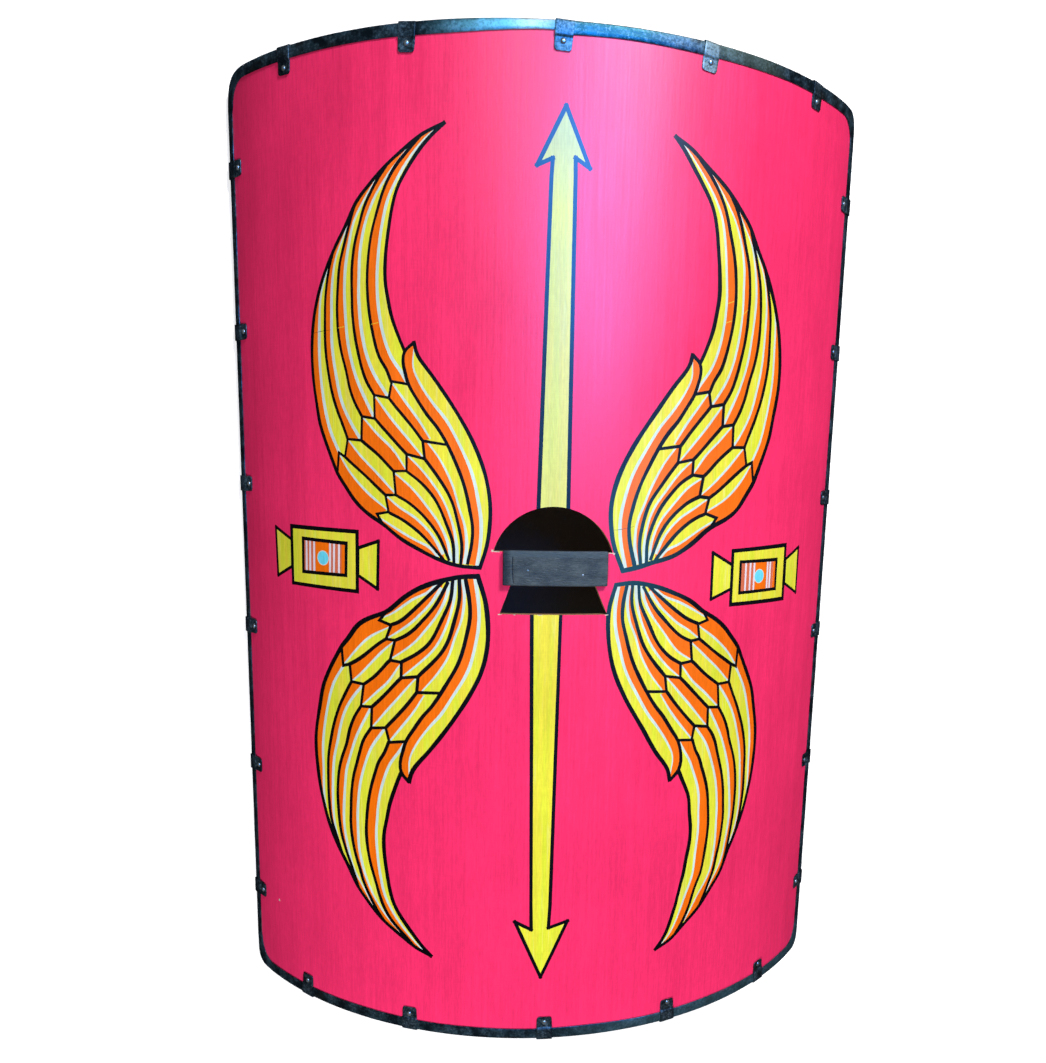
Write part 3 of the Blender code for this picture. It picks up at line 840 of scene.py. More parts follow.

# %% [markdown]
# ## Paint
# The paint is brushed acrylic over a fine cloth-like ground. It shows thin upright streaks, patches where the
# brush ran dry and a soft satin gloss. Each colour could have a material of its own, but one material keeps the
# streaks running on under all of them: it reads the number of the paint from the face, picks the colour, and
# then varies colour, gloss and height a little. Three tones change with their place, and each is a painted
# reflection of the blue sheen: the yellow is painted paler along the upper arrow, the arrow's black line is
# painted blue towards the upper head, and the black lines near the right-hand roots of the wings are painted
# teal.

# %% Paint
def make_paint():
    f = Finish("brushed_paint")
    u, v = f.parts[:2]
    teal_sheen_centre = (0.062, 0.02, board_half)
    paint = f.node("ShaderNodeAttribute", {"attribute_name": "paint"}, output="Fac")
    streaks = f.noise((420, 7, 0), 4, 0.6)
    threads = f.noise((800, 100, 0), 2, 0.5, shift=5)
    across = f.noise((60, 800, 0), 2, 0.5, shift=7)
    patches = f.noise((9, 6, 0), 4, 0.6, shift=11)
    brush = f.noise((150, 5, 0), 3, 0.6, shift=21)
    broad = f.noise((70, 2, 0), 3, 0.6, shift=12)
    dry = f.noise((330, 11, 0), 3, 0.6, shift=31)
    yellow = f.mix(f.span(brush, 0.38, 0.6), linear(226, 236, 56), linear(240, 230, 66))
    yellow = f.mix(f.span(dry, 0.56, 0.7, 0, 0.4), yellow, linear(234, 236, 160))
    # Painted reflection: the blue sheen is painted into the yellow of the upper arrow, partly along all of it
    # and fully near its head.
    painted_sheen_on_arrow = (f.span(v, 0.0, 0.02) * 0.45 + f.span(v, 0.36, 0.43) * 0.55) * (u > -0.05) * (u < 0.05)
    yellow = f.mix(painted_sheen_on_arrow, yellow, linear(191, 211, 155))
    # Painted reflection: the arrow's black line is painted blue from 0.22 m up, fully by 0.42 m, where the blue
    # sheen lies on it.
    painted_sheen_on_arrow_line = f.mix(f.span(v, 0.22, 0.42), linear(8, 4, 3), linear(0, 74, 142))
    # Painted reflection: the black lines within 0.1 m of the right-hand wing roots are painted teal for the
    # sheen that lies on them.
    root = f.node("ShaderNodeVectorMath", {"operation": "DISTANCE"}, {0: f.flat, 1: teal_sheen_centre}, "Value")
    black = f.mix(f.span(root, 0.02, 0.10, 0.85, 0.0), linear(8, 4, 3), linear(34, 80, 98))
    tones = {YELLOW: yellow, ORANGE: linear(252, 116, 2), PALE: linear(210, 232, 232), BLACK: black, ARROW_LINE_PAINTED_SHEEN: painted_sheen_on_arrow_line,
             SKY: linear(110, 222, 252), ROSE: linear(216, 112, 80), LILAC: linear(238, 226, 242),
             BARE: linear(216, 208, 196), CHALK: linear(186, 150, 160)}
    colour = linear(252, 50, 110)
    for number, tone in tones.items():
        same = f.node("ShaderNodeMath", {"operation": "COMPARE"}, {0: paint, 1: float(number), 2: 0.4})
        colour = f.mix(same, colour, tone)
    shade = f.span(streaks, 0.25, 0.75, 0.88, 1.05) * f.span(patches, 0.3, 0.7, 0.88, 1.05)
    shade = shade * f.span(broad, 0.3, 0.7, 0.93, 1.04)
    shade = shade * f.span(threads, 0.25, 0.75, 0.88, 1.06) * f.span(across, 0.25, 0.75, 0.97, 1.02)
    dark = f.node("ShaderNodeCombineColor", None, {0: shade, 1: shade, 2: shade})
    colour = f.mix(1.0, colour, dark, "MULTIPLY")
    height = streaks * 0.5 + threads * 0.5 + across * 0.2 + patches * 0.6
    rough = f.span(streaks + patches * 0.7, 0.5, 1.2, 0.34, 0.50)
    return f.finish({"Base Color": colour, "Roughness": rough, "Specular IOR Level": 0.35,
                     "Normal": f.bump(height, 0.22, 0.0006)})


board_mesh.materials.append(make_paint())
print("paint finish with", len(board_mesh.materials[0].node_tree.nodes), "nodes")

# %% [markdown]
# ## Plywood
# The back and the cut edges are bare. Plywood has long soft grain on its faces and shows its plies as bands
# on a cut edge. The flat layout gives both: noise that is stretched along the board for the grain, and the
# depth in the board for the bands, so no edge needs a texture of its own.

# %% Plywood
def make_plywood():
    f = Finish("plain_plywood")
    w = f.parts[2]
    grain = f.noise((260, 9, 30), 5, 0.6, warp=0.4)
    broad = f.noise((16, 1.6, 4), 3, 0.5, shift=3)
    face = f.mix(f.span(grain, 0.3, 0.7), linear(196, 160, 118), linear(168, 128, 88))
    face = f.mix(f.span(broad, 0.35, 0.7, 0.0, 0.5), face, linear(146, 106, 70))
    ply = f.node("ShaderNodeMath", {"operation": "PINGPONG"}, {0: w * 1000 + 3.5, 1: 1.4})
    ends = f.mix(f.span(f.noise((700, 700, 500), 3, 0.6), 0.3, 0.7), linear(120, 88, 60), linear(96, 68, 46))
    layer = (ply > 0.7) * (w > -0.0033) * (w < 0.0033)
    colour = f.mix(layer * 0.8, face, ends)
    return f.finish({"Base Color": colour, "Roughness": f.span(grain, 0.2, 0.8, 0.55, 0.75),
                     "Specular IOR Level": 0.3, "Normal": f.bump(grain, 0.3, 0.0006)})


board_mesh.materials.append(make_plywood())
shield = run_tree(bpy.data.objects.new("painted_board", board_mesh), bending, form)
print("board slots:", [slot.name for slot in shield.data.materials])


# %% Even shading on the curve
def round_normals(thing):
    """Gives front and back the cylinder's true normals, so that the gloss is even over uneven triangles."""
    mesh = thing.data
    places = np.zeros(len(mesh.vertices) * 3)
    mesh.vertices.foreach_get("co", places)
    places = places.reshape(-1, 3)
    normals = []
    for face in mesh.polygons:
        for number in face.vertices:
            if face.use_smooth:
                x, y, z = places[number]
                way = math.copysign(1, face.normal.x * x + face.normal.z * (z + floor_drop))
                size = math.hypot(x, z + floor_drop)
                normals.append((way * x / size, 0, way * (z + floor_drop) / size))
            else:
                normals.append(face.normal)
    mesh.normals_split_custom_set(normals)


round_normals(shield)
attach(shield, "root")
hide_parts("shield_board")
print("painted board:", len(shield.data.polygons), "faces")

# %% [markdown]
# ## The steel edging
# The rim is a thin channel of sheet steel, folded over the board's edge in two lengths by hand. It is not
# quite even: its leg is wider in one place than in another, its face is slightly hammered and its corners
# stand out. A curve with a bevel would give it one even section. So a section is carried along the outline in
# the flat, with a little noise on its points, and then bent like the board.

# %% Walking round the edge
def edge_walk(side, step=0.005):
    """Places along one half of the outline from the top middle to the bottom middle, with the inward way."""
    flat_run = half_arc - corner_radius
    upright = half_height - corner_radius
    walk = []
    for share in np.linspace(0, 1, int(flat_run / step)):
        walk.append((flat_run * share, half_height, 0.0, -1.0))
    for angle in np.radians(np.linspace(90, 0, 15)[1:-1]):
        walk.append((flat_run + corner_radius * math.cos(angle), upright + corner_radius * math.sin(angle),
                     -math.cos(angle), -math.sin(angle)))
    for share in np.linspace(1, -1, int(2 * upright / step)):
        walk.append((half_arc, upright * share, -1.0, 0.0))
    for angle in np.radians(np.linspace(0, -90, 15)[1:-1]):
        walk.append((flat_run + corner_radius * math.cos(angle), -upright + corner_radius * math.sin(angle),
                     -math.cos(angle), -math.sin(angle)))
    for share in np.linspace(1, 0, int(flat_run / step)):
        walk.append((flat_run * share, -half_height, 0.0, 1.0))
    return [(side * x, y, side * nx, ny) for x, y, nx, ny in walk]


print("places along one half of the edge:", len(edge_walk(1)))

# %% One length of rim
# The section goes round the channel. A point is its distance in from the outline and its height, in mm.
rim_section = [(12.0, 3.85), (12.0, 4.4), (11.6, 4.7), (8.0, 4.8), (4.0, 4.8), (1.2, 4.8), (0.4, 4.6),
               (0.05, 4.0), (0.0, 2.4), (0.0, -2.4), (0.2, -3.6), (0.7, -4.3), (1.6, -4.7), (4.0, -4.8),
               (8.0, -4.8), (11.6, -4.7), (12.0, -4.4), (12.0, -3.85), (8.0, -3.8), (1.3, -3.8), (1.0, -3.4),
               (1.0, 3.4), (1.3, 3.8), (8.0, 3.8)]


def make_rim(name, side, leg_width, squarer):
    """One length. leg_width() gives the width of the front leg, squarer how far the two corners stand out."""
    rim = bmesh.new()
    loops = []
    for x, y, nx, ny in edge_walk(side):
        width = leg_width(x * 1000, y * 1000)
        loop = []
        for inset, w in rim_section:
            dent = noise.noise(Vector((x * 45, y * 45, inset * 0.3 + side)))
            far = inset
            if inset > 1.0 and w > 0:
                far = 1.0 + (inset - 1.0) * (width - 1.0) / 11.0
            if w > 4.5:
                w += dent * 0.14 - 0.04
            if inset < 0.9:
                far += 0.1 + 0.1 * dent
            far -= squarer[int(y > 0)] * (2 * abs(nx * ny)) ** 3 * (1 - inset / 12.5)
            loop.append(rim.verts.new((x + nx * far / 1000, y + ny * far / 1000, w / 1000)))
        loops.append(loop)
    turns = len(rim_section)
    for one, two in zip(loops, loops[1:]):
        for k in range(turns):
            face = rim.faces.new([one[k], one[(k + 1) % turns], two[(k + 1) % turns], two[k]])
            face.smooth = True
    rim.faces.new(loops[0][::-1])
    rim.faces.new(loops[-1])
    bmesh.ops.recalc_face_normals(rim, faces=rim.faces[:])
    mesh = bpy.data.meshes.new(name)
    rim.to_mesh(mesh)
    rim.free()
    mesh.materials.append(blued_steel)
    made = run_tree(bpy.data.objects.new(name, mesh), bending, form)
    made.data.set_sharp_from_angle(angle=math.radians(50))
    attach(made, "root")
    return made


# %% [markdown]
# ## Blued steel
# Old blued steel is nearly black, with blue, green and brown patches where oil and rust have worked on it, and
# with lighter flecks. Noise at two scales mixes the colours, and the roughness follows it, so that the light
# breaks up along the rim. A few wider patches on the top and bottom edges have a place of their own. Three of
# them beside the top middle clip are painted light: a cyan painted reflection and a cream painted highlight to
# its left, and a dark teal patch to its right that sets the blue of the sheen's reflection there.

# %% Blued steel
def make_steel(name, deep, blue, brown, bright, rough, mottle, patches):
    """Old steel. Each patch is edge (1 top, -1 bottom), middle u, full to, gone by, and its colour."""
    f = Finish(name)
    u, v = f.parts[:2]
    cloud = f.noise((60, 60, 60), 5, 0.65)
    spots = f.noise((420, 420, 300), 4, 0.7, shift=4)
    rust = f.noise((25, 25, 25), 5, 0.7, shift=9)
    colour = f.mix(f.span(cloud, 0.42, 0.68), deep, blue)
    colour = f.mix(f.span(rust, 0.55, 0.72, 0, 0.7), colour, brown)
    for edge, middle, full, gone, tone in patches:
        away = f.node("ShaderNodeMath", {"operation": "ABSOLUTE"}, {0: u - middle})
        share = f.span(away, full, gone, 1.0, 0.0) * (v * edge > 0.49)
        colour = f.mix(share * f.span(cloud, 0.3, 0.55, 0.65, 1.0), colour, tone)
    colour = f.mix(f.span(spots, 0.5, 0.64, 0, mottle) * f.span(cloud, 0.35, 0.6), colour, bright)
    colour = f.mix(f.span(spots, 0.4, 0.5, mottle, 0.0), colour, deep)
    return f.finish({"Base Color": colour, "Metallic": 0.65, "Specular Tint": (0.35, 0.38, 0.42, 1.0),
                     "Roughness": f.span(cloud + spots * 0.5, 0.5, 1.0, rough[0], rough[1]),
                     "Normal": f.bump(spots * 0.6 + cloud * 1.4, 0.35, 0.0008)})


# Painted light: the cyan patch and the cream one left of the top middle clip are a painted reflection and a
# painted highlight, and the dark teal patch to its right sets the blue of the sheen's reflection there.
blued_steel = make_steel("blued_steel", linear(22, 34, 42), linear(66, 92, 104), linear(60, 58, 48),
                         linear(130, 152, 162), (0.28, 0.52), 0.35, [
                             (1, -0.045, 0.03, 0.09, linear(104, 160, 174)),
                             (1, -0.028, 0.006, 0.026, linear(176, 180, 166)),
                             (1, 0.045, 0.03, 0.075, linear(8, 62, 68)),
                             (1, 0.19, 0.03, 0.06, linear(86, 102, 92)),
                             (-1, 0.25, 0.17, 0.25, linear(72, 104, 116))])
print("steel finish with", len(blued_steel.node_tree.nodes), "nodes")


# %% The two lengths of rim
def leg_left(x, y):
    """The left length narrows beside the middle clip at the top and along its upright side."""
    wander = noise.noise(Vector((x * 0.012, y * 0.012, 3.0)))
    narrow = math.exp(-(x / 60) ** 2) if y > 500 else 0.0
    upright = 1.0 if x < -395 and abs(y) < 488 else 0.0
    return 12.0 + wander - 3.0 * narrow - 2.2 * upright


def leg_right(x, y):
    return 12.2 + noise.noise(Vector((x * 0.012, y * 0.012, 8.0)))


rim_left = make_rim("steel_rim_left", -1, leg_left, (7.5, 3.5))
rim_right = make_rim("steel_rim_right", 1, leg_right, (8.5, 7.0))
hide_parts("rim_left")
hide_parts("rim_right")
print("rim faces:", len(rim_left.data.polygons), len(rim_right.data.polygons))

# %% [markdown]
# ## Clips and rivets
# Twenty-two strips of steel hold the rim. Each is folded over it, stepped down to the board, rounded at its
# tips and riveted through. They could be copied by hand, but a tree keeps them alike. One clip is modelled as
# a grid that follows the fold. A point for every clip says where it goes and which way it faces, a little off
# the even pitch as on the real shield, and a Geometry Nodes tree puts the clips on the points and bends them
# with the board. Their rivets come from a second tree, out of two flattened balls and a pin.

# %% One clip in the flat
def make_clip_mesh():
    """A strip folded over the rim, with its fold at the origin and its legs along +Y."""
    path = [(26.0, 4.35), (20.0, 4.3), (14.6, 4.3), (13.7, 4.45), (12.8, 5.1), (12.1, 5.5), (11.0, 5.62),
            (6.0, 5.66), (1.2, 5.66), (0.1, 5.45), (-0.6, 4.75), (-0.8, 3.8), (-0.8, 1.5)]
    path = np.array(path + [(y, -w) for y, w in reversed(path)])
    walk = np.concatenate([[0], np.cumsum(np.linalg.norm(np.diff(path, axis=0), axis=1))])
    half_width, tip_radius, clear_of_tip = 8.75, 3.0, 3.4
    ends = [0.0, 0.25, 0.8, 1.7, tip_radius]
    inner = [s for s in walk if clear_of_tip < s < walk[-1] - clear_of_tip]
    stations = ends + inner + [walk[-1] - reach for reach in reversed(ends)]
    clip = bmesh.new()
    rows = []
    for s in stations:
        y = np.interp(s, walk, path[:, 0])
        w = np.interp(s, walk, path[:, 1])
        near = min(s, walk[-1] - s)
        half = half_width - 0.5 * max(0.0, 1 - near / 12)
        if near < tip_radius:
            half -= tip_radius - math.sqrt(max(0.0, tip_radius ** 2 - (tip_radius - near) ** 2))
        rows.append([clip.verts.new((half * k / 4 / 1000, y / 1000, w / 1000)) for k in range(-4, 5)])
    for one, two in zip(rows, rows[1:]):
        for k in range(8):
            clip.faces.new([one[k], one[k + 1], two[k + 1], two[k]]).smooth = True
    bmesh.ops.recalc_face_normals(clip, faces=clip.faces[:])
    mesh = bpy.data.meshes.new("clip_strip")
    clip.to_mesh(mesh)
    clip.free()
    strip = bpy.data.objects.new("clip_strip", mesh)
    bpy.context.scene.collection.objects.link(strip)
    thick = strip.modifiers.new("gauge", "SOLIDIFY")
    thick.thickness = 0.00095
    thick.offset = 0.0
    soft = strip.modifiers.new("soft_edge", "BEVEL")
    soft.width = 0.00028
    soft.segments = 2
    soft.limit_method = "ANGLE"
    soft.angle_limit = math.radians(50)
    view = bpy.context.evaluated_depsgraph_get()
    solid = bpy.data.meshes.new_from_object(strip.evaluated_get(view), depsgraph=view)
    bpy.data.objects.remove(strip)
    return solid


clip_mesh = make_clip_mesh()
print("one clip has", len(clip_mesh.polygons), "faces")

# %% Places and leans
# Slides along the rim and outward shifts of the rivets are in millimetres, leans in degrees.
clip_places = []
even = (0,) * 6
slides = {"top": (1.3, -0.3, 0.1, -0.2, 4.6), "bottom": (-0.2, -4.2, 0.7, -1.3, -2.1),
          "left": (0.5, -2.2, -1.9, 0.2, -2.0, 4.6), "right": (-4.4, -1.7, -5.0, -2.0, -2.6, -1.2)}
leans = {"top": (-2.0, -3.5, -4.5, -5.0, -4.0), "bottom": (-1.0, 1.5, 0.5, 1.0, 2.0),
         "left": even, "right": even}
outwards = {"top": (0.2, 1.9, 2.3, 2.4, 1.5), "bottom": (1.6, 1.9, 0.0, -2.4, -2.0),
            "left": even, "right": even}
clip_half_width, most_wobble = 0.00875, 1.0
for side, turn in (("top", math.pi), ("bottom", 0.0), ("left", -math.pi / 2), ("right", math.pi / 2)):
    along = end_clips if side in ("top", "bottom") else side_clips
    for place, slide, lean, out in zip(along, slides[side], leans[side], outwards[side]):
        place += slide / 1000
        edge = half_height if side in ("top", "bottom") else half_arc
        edge -= clip_half_width * math.sin(math.radians(abs(lean) + most_wobble))
        edge = -edge if side in ("bottom", "left") else edge
        spot = (place, edge) if side in ("top", "bottom") else (edge, place)
        clip_places.append((*spot, turn + math.radians(lean), out / 1000))


def make_points(name, places, moved=0.0):
    """Points with a turn each. moved = 1 shifts each outwards by its own small distance."""
    mesh = bpy.data.meshes.new(name)
    spots = []
    for u, v, turn, out in places:
        spots.append((u + math.sin(turn) * out * moved, v - math.cos(turn) * out * moved, 0))
    mesh.from_pydata(spots, [], [])
    turns = mesh.attributes.new("turn", "FLOAT", "POINT")
    for number, (u, v, turn, out) in enumerate(places):
        turns.data[number].value = turn
    return bpy.data.objects.new(name, mesh)


print("places for clips:", len(clip_places))


# %% What both trees share
def stored_turn(bench):
    return bench.node("GeometryNodeInputNamedAttribute", {"data_type": "FLOAT"}, {"Name": "turn"})


def set_on_points(bench, given, part, turn):
    """Ends a tree: sets the part on every point, turned, bends the lot and gives it its steel."""
    way = bench.node("ShaderNodeCombineXYZ", None, {2: turn})
    set_out = bench.node("GeometryNodeInstanceOnPoints", None,
                         {"Points": given["Geometry"], "Instance": part, "Rotation": way})
    loose = bench.node("GeometryNodeRealizeInstances", None, {0: set_out})
    bent = add_bend(bench, loose, given["Bend radius"], given["Floor drop"])
    return end_tree(bench, bench.node("GeometryNodeSetMaterial", None,
                                      {"Geometry": bent, "Material": given["Steel"]}))


# %% The tree that sets the clips
bench, given = new_tree("set_clips_on_the_rim", {
    "Clip": "Object", "Lean": "Float", "Seed": "Int", "Bend radius": "Float", "Floor drop": "Float",
    "Steel": "Material"})
strip = bench.node("GeometryNodeObjectInfo", None, {0: given["Clip"]}, output="Geometry")
lean = bench.node("FunctionNodeRandomValue", {"data_type": "FLOAT"},
                  {2: given["Lean"] * -1.0, 3: given["Lean"], "Seed": given["Seed"]}, output=1)
clip_tree = set_on_points(bench, given, strip, stored_turn(bench) + lean)
# Painted reflection: the blue patch on the top middle clip.
clip_steel = make_steel("clip_steel", linear(26, 36, 42), linear(70, 88, 96), linear(62, 58, 46),
                        linear(124, 140, 146), (0.36, 0.6), 0.6, [
                            (1, 0.0, 0.02, 0.04, linear(56, 92, 108)),
                            (1, 0.165, 0.025, 0.035, linear(112, 126, 120))])
clip_source = bpy.data.objects.new("clip_source", clip_mesh)
bpy.context.scene.collection.objects.link(clip_source)
clips = run_tree(make_points("rim_clips", clip_places), clip_tree, {
    "Clip": clip_source, "Lean": math.radians(most_wobble), "Seed": 4, "Steel": clip_steel, **form})
bpy.data.objects.remove(clip_source)
clips.data.set_sharp_from_angle(angle=math.radians(45))
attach(clips, "root")
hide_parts(*[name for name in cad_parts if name.startswith("clip_")])
print("clips:", len(clips.data.polygons), "faces")

# %% The tree that makes rivets
bench, given = new_tree("set_domed_rivets", {
    "Inset": "Float", "Head radius": "Float", "Head height": "Float", "Head face": "Float",
    "Tail radius": "Float", "Tail height": "Float", "Tail face": "Float", "Shank radius": "Float",
    "Bend radius": "Float", "Floor drop": "Float", "Steel": "Material"})


def flattened_ball(radius, height, face):
    ball = bench.node("GeometryNodeMeshUVSphere", None, {"Segments": 20, "Rings": 10, "Radius": 1.0})
    size = bench.node("ShaderNodeCombineXYZ", None, {0: radius, 1: radius, 2: height})
    lift = bench.node("ShaderNodeCombineXYZ", None, {2: face})
    return bench.node("GeometryNodeTransform", None, {"Geometry": ball, "Translation": lift, "Scale": size})


depth = given["Head face"] - given["Tail face"]
pin = bench.node("GeometryNodeMeshCylinder", None,
                 {"Vertices": 12, "Radius": given["Shank radius"], "Depth": depth})
middle = bench.node("ShaderNodeCombineXYZ", None, {2: (given["Head face"] + given["Tail face"]) * 0.5})
pin = bench.node("GeometryNodeTransform", None, {"Geometry": pin, "Translation": middle})
head = flattened_ball(given["Head radius"], given["Head height"], given["Head face"])
tail = flattened_ball(given["Tail radius"], given["Tail height"], given["Tail face"])
join = bench.tree.nodes.new("GeometryNodeJoinGeometry")
for part in (head, tail, pin):
    bench.tree.links.new(part.socket, join.inputs[0])
inwards = bench.node("ShaderNodeCombineXYZ", None, {1: given["Inset"]})
joined = Wire(bench, join.outputs[0])
rivet = bench.node("GeometryNodeTransform", None, {"Geometry": joined, "Translation": inwards})
rivet_tree = set_on_points(bench, given, rivet, stored_turn(bench))
print("rivet tree with", len(rivet_tree.nodes), "nodes")

# %% The rivets
rivet_steel = make_steel("rivet_steel", linear(120, 128, 132), linear(160, 170, 176), linear(96, 88, 78),
                         linear(206, 214, 218), (0.22, 0.4), 0.3, [])
rivets = run_tree(make_points("rivets", clip_places, 1.0), rivet_tree, {
    "Inset": rivet_inset, "Head radius": 0.0027, "Head height": 0.0016, "Head face": 0.0048,
    "Tail radius": 0.0022, "Tail height": 0.0008, "Tail face": -0.0048, "Shank radius": 0.0012,
    "Steel": rivet_steel, **form})
for face in rivets.data.polygons:
    face.use_smooth = True
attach(rivets, "root")
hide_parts(*[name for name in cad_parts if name.startswith("rivet_")])
print("rivets:", len(rivets.data.polygons), "faces")

# %% [markdown]
# ## The grip
# The grip is a flat bar across the bridge between the hand holes, covered in dark leather that is folded
# round it and nailed. Sculpting would do, but its faces are nearly flat and its edges are rounded by the
# leather, so a rounded block on a fine grid serves, with the seam, the fold and a few dents pushed into it.

# %% The shape of the grip
grip_left, grip_right = -51.2, 55.6
grip_low, grip_high = -8.7, 27.6
grip_back, grip_face = 3.8, 10.3
small_dents = ((-25.9, 7.3), (29.6, 3.2), (-11.2, 0.3))


def seam_place(v):
    """Where the seam of the leather runs at a height, in millimetres."""
    return -41.5 + 0.0045 * (v - 12) ** 2


def make_grip():
    bar = bmesh.new()
    wide, high = grip_right - grip_left, grip_high - grip_low
    deep = grip_face - grip_back
    bmesh.ops.create_cube(bar, size=1.0)
    for vert in bar.verts:
        vert.co = ((vert.co.x * wide + (grip_left + grip_right) / 2) / 1000,
                   (vert.co.y * high + (grip_low + grip_high) / 2) / 1000,
                   (vert.co.z * deep + (grip_back + grip_face) / 2) / 1000)
    front_edges = [e for e in bar.edges if any(v.co.z * 1000 > grip_face - 1 for v in e.verts)]
    bmesh.ops.bevel(bar, geom=front_edges, offset=0.0018, segments=4, profile=0.6, affect="EDGES")
    for axis, start, stop, count in ((0, grip_left, grip_right, 120), (1, grip_low, grip_high, 40)):
        for cut in np.linspace(start, stop, count + 2)[1:-1]:
            where = [0, 0, 0]
            where[axis] = cut / 1000
            way = [0, 0, 0]
            way[axis] = 1
            bmesh.ops.bisect_plane(bar, geom=bar.verts[:] + bar.edges[:] + bar.faces[:], plane_co=where,
                                   plane_no=way)
    for vert in bar.verts:
        x, y, z = vert.co * 1000
        if z > grip_back + 1:
            dent = noise.noise(Vector((x * 0.05, y * 0.09, 2.0))) * 0.25 - 0.3
            gap = x - seam_place(y)
            if -6 < y < 21:
                dent -= 0.7 * math.exp(-(gap / 0.9) ** 2)
            fold = y - (21.5 + 0.8 * math.sin(x * 0.05))
            dent -= 0.35 / (1 + math.exp(-fold * 2.0))
            for dent_x, dent_y in small_dents:
                dent -= 0.5 * math.exp(-((x - dent_x) ** 2 + (y - dent_y) ** 2) / 12)
            crease = x - 38 - (y - 6) * 0.5
            dent -= 0.4 * math.exp(-(crease / 3.0) ** 2) * math.exp(-((y - 7) / 9) ** 2)
            vert.co.z += dent / 1000
    for face in bar.faces:
        face.smooth = True
    bmesh.ops.recalc_face_normals(bar, faces=bar.faces[:])
    mesh = bpy.data.meshes.new("leather_grip")
    bar.to_mesh(mesh)
    bar.free()
    return mesh


grip_mesh = make_grip()
print("grip:", len(grip_mesh.polygons), "faces")

# %% [markdown]
# ## Dark leather
# The leather is nearly black with a blue-grey bloom, scratched along the bar and darkest in its seam. Its left
# end is darkened with painted shade, and a lighter, bluish strip along the top fold is a painted sheen. Pores,
# rubbing and scratches are three kinds of noise, each stretched its own way, and the seam is drawn by the same
# curve that dented the mesh, so that colour and shape stay together.

# %% Dark leather
def make_leather():
    f = Finish("dark_leather")
    u, v = f.parts[:2]
    pores = f.noise((900, 900, 900), 3, 0.6)
    rub = f.noise((60, 90, 60), 5, 0.65, shift=2)
    scratch = f.noise((140, 1300, 90), 3, 0.6, shift=6, warp=0.6)
    colour = f.mix(f.span(rub, 0.35, 0.7), linear(46, 53, 57), linear(76, 86, 92))
    colour = f.mix(f.span(scratch, 0.58, 0.72, 0, 0.45), colour, linear(112, 122, 130))
    colour = f.mix(f.span(scratch, 0.30, 0.42, 0.6, 0), colour, linear(34, 40, 46))
    # Painted sheen: a lighter, bluish strip along the top fold of the leather.
    colour = f.mix(f.span(v, 0.0205, 0.0225, 0.0, 0.5), colour, linear(74, 90, 102))
    from_middle = (v - 0.012) * (v - 0.012)
    gap = f.node("ShaderNodeMath", {"operation": "ABSOLUTE"}, {0: u + 0.0415 - from_middle * 4.5})
    seam = f.span(gap, 0.0002, 0.0007, 1.0, 0.0) * (v > -0.006) * (v < 0.021)
    # Painted shade: the left end of the grip is darkened over its last few millimetres.
    painted_shade_left_end = f.span(u, -0.0475, -0.0425, 0.75, 0.0)
    colour = f.mix(f.span(seam + painted_shade_left_end, 0.0, 1.0), colour, linear(14, 18, 24))
    height = pores * 0.5 + rub + scratch * 1.2
    return f.finish({"Base Color": colour, "Roughness": f.span(rub, 0.3, 0.7, 0.50, 0.68),
                     "Specular IOR Level": 0.28, "Normal": f.bump(height, 0.7, 0.0010)})


grip_mesh.materials.append(make_leather())
grip = run_tree(bpy.data.objects.new("leather_grip", grip_mesh), bending, form)
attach(grip, "root")
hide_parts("grip")
print("grip slots:", [slot.name for slot in grip.data.materials])

# %% The nails of the grip
nail_places = [(-0.0259, 0.0073, 0.3, 0.0), (0.0296, 0.0032, 1.1, 0.0)]
nails = run_tree(make_points("grip_nails", nail_places), rivet_tree, {
    "Inset": 0.0, "Head radius": 0.0013, "Head height": 0.0008, "Head face": 0.0094, "Tail radius": 0.0010,
    "Tail height": 0.0004, "Tail face": -0.0030, "Shank radius": 0.0009, "Steel": rivet_steel, **form})
for face in nails.data.polygons:
    face.use_smooth = True
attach(nails, "root")
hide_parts("grip_nail_left", "grip_nail_right")
print("nails:", len(nails.data.polygons), "faces")

# %% [markdown]
# ## Floor, light and camera
# The shield lies on a plain pale floor, and the camera looks down on it. The floor also glows softly. This is a
# painted light that washes out the shield's cast shadow, so that the floor reads white as on a cut-out. The
# glow fades out towards the middle, so the floor is dark below the hand holes, which look black. The floor is
# kept out of reflections and bounced light, which would lay a grey haze on the satin paint.

# %% Floor
floor_half, painted_glow_from, painted_glow_full = 4, 0.14, 0.28
floor_mesh = bpy.data.meshes.new("floor")
floor_corners = [(x * floor_half, y * floor_half, 0) for x, y in ((-1, -1), (1, -1), (1, 1), (-1, 1))]
floor_mesh.from_pydata(floor_corners, [], [(0, 1, 2, 3)])
floor = bpy.data.objects.new("floor", floor_mesh)
bpy.context.scene.collection.objects.link(floor)
pale = Finish("pale_floor")
spot = pale.node("ShaderNodeTexCoord", None, None, "Object")
reach = pale.node("ShaderNodeVectorMath", {"operation": "LENGTH"}, {0: spot}, "Value")
# Painted light: the floor glows fully from 0.28 m out from the middle and not at all inside 0.14 m. This washes
# out the shield's cast shadow and leaves the floor dark below the hand holes.
painted_glow = pale.mix(pale.span(reach, painted_glow_from, painted_glow_full), (0.0, 0.0, 0.0, 1), (1.0, 1.0, 1.0, 1))
floor_mesh.materials.append(pale.finish({
    "Base Color": (0.95, 0.95, 0.96, 1), "Roughness": 0.9, "Emission Color": painted_glow, "Emission Strength": 0.4}))
floor.visible_glossy = False
floor.visible_diffuse = False
floor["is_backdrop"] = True
print("floor in metres:", floor_half * 2, "by", floor_half * 2)

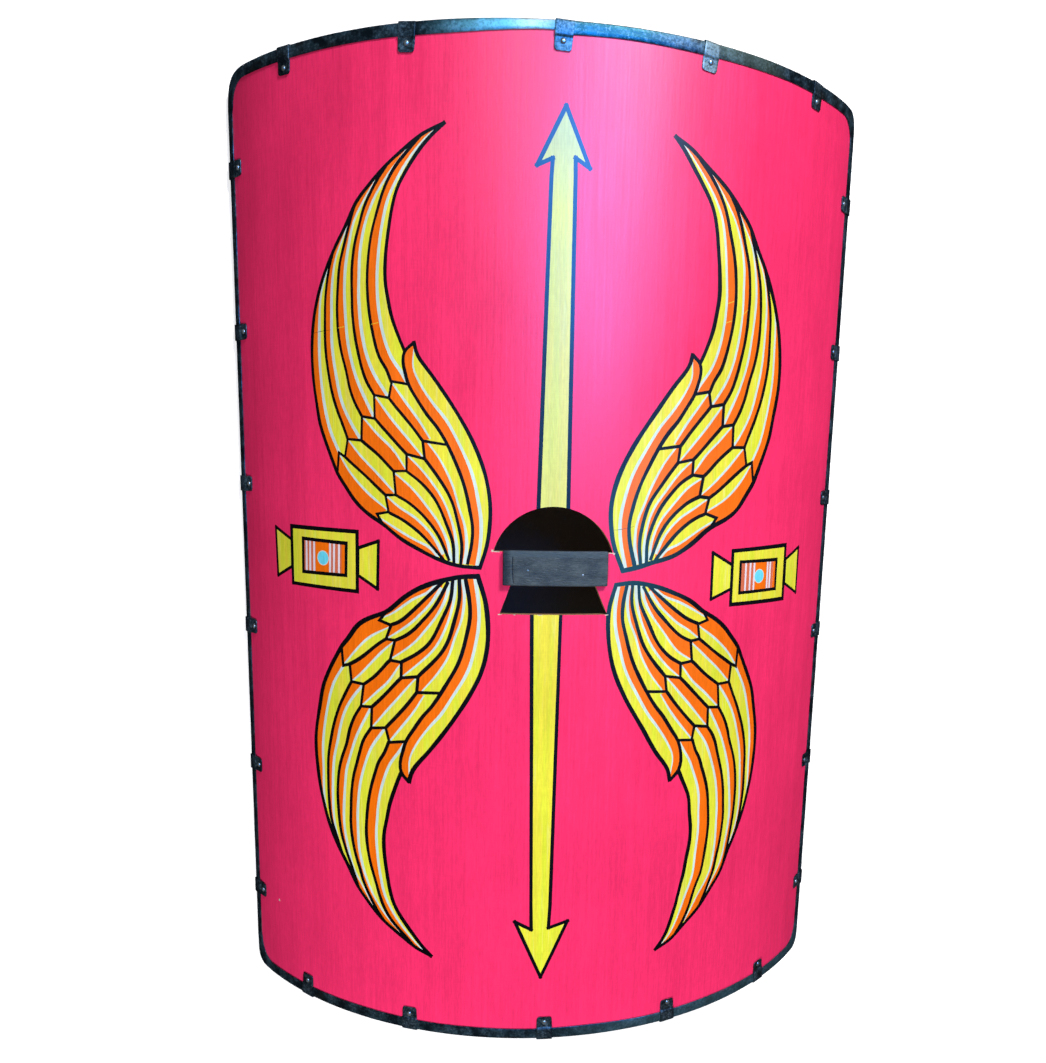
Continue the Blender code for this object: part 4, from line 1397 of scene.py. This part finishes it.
# %% [markdown]
# ## Lights
# The key light stands to the upper right, because the left side falls away into shade, and a softer fill
# opens the lower end without a reflection of its own. Two cool lights are seen only in reflections: a broad
# blue one gives the satin sheen over the upper right, and a small one gives the glint on the top rim.

# %% Lights
def soft_light(name, place, aim, size, power, colour):
    light = bpy.data.lights.new(name, "AREA")
    light.shape = "DISK"
    light.size = size
    light.energy = power
    light.color = colour
    lamp = bpy.data.objects.new(name, light)
    lamp.location = place
    lamp.rotation_euler = (Vector(aim) - Vector(place)).to_track_quat("-Z", "Y").to_euler()
    lamp.visible_camera = False
    bpy.context.scene.collection.objects.link(lamp)
    return lamp


soft_light("key", (1.20, 2.35, 2.35), (0.0, 0.0, 0.1), 0.8, 132, (1.0, 0.99, 0.98))
fill = soft_light("fill", (-0.60, -2.1, 2.4), (0, 0, 0.1), 1.1, 76, (0.98, 0.99, 1.0))
fill.visible_glossy = False
sheen = soft_light("sheen", (0.60, 0.90, 2.15), (0.03, 0.30, 0.17), 0.95, 126, (0.01, 0.30, 1.0))
sheen.data.shape = "RECTANGLE"
sheen.data.size_y = 1.1
glint = soft_light("glint", (-0.36, 1.34, 1.97), (-0.045, 0.52, 0.17), 0.35, 12, (0.45, 0.85, 1.0))
for lamp in (sheen, glint):
    lamp.visible_diffuse = False
world = bpy.data.worlds.new("studio")
world.use_nodes = True
backdrop = world.node_tree.nodes["Background"]
backdrop.inputs["Color"].default_value = (0.9, 0.93, 1.0, 1)
backdrop.inputs["Strength"].default_value = 0.015
bpy.context.scene.world = world
bpy.context.scene.view_settings.view_transform = "Standard"

# %% [markdown]
# ## Camera
# A camera set by eye never quite matches a photograph. This one was solved on the outline and the rivets of
# the real shield. Its focal length and the middle of its picture are in picture dots, which the cell turns
# into a lens length in millimetres and a shift of the picture.

# %% Camera
picture_wide, picture_tall = 1046, 1063
focal, middle_x, middle_y = 854.7217, 566.719, 590.348
camera_data = bpy.data.cameras.new("camera")
camera_data.sensor_width = 36
camera_data.sensor_fit = "AUTO"
camera_data.lens = focal * camera_data.sensor_width / picture_tall
camera_data.shift_x = (picture_wide / 2 - middle_x) / picture_tall
camera_data.shift_y = (middle_y - picture_tall / 2) / picture_tall
camera_data.clip_start = 0.01
camera = bpy.data.objects.new("camera", camera_data)
camera.location = (-0.067176, 0.127831, 1.046755)
camera.rotation_euler = (-0.16267341, -0.08970685, 0.02372989)
bpy.context.scene.collection.objects.link(camera)
bpy.context.scene.camera = camera
print("lens in mm", round(camera_data.lens, 2))

# %% [markdown]
# ## The finished box
# The last cell measures the finished model and prints the size of its box.

# %% The finished box
low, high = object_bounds()
print("visual box in mm", [round((b - a) * 1000, 1) for a, b in zip(low, high)])
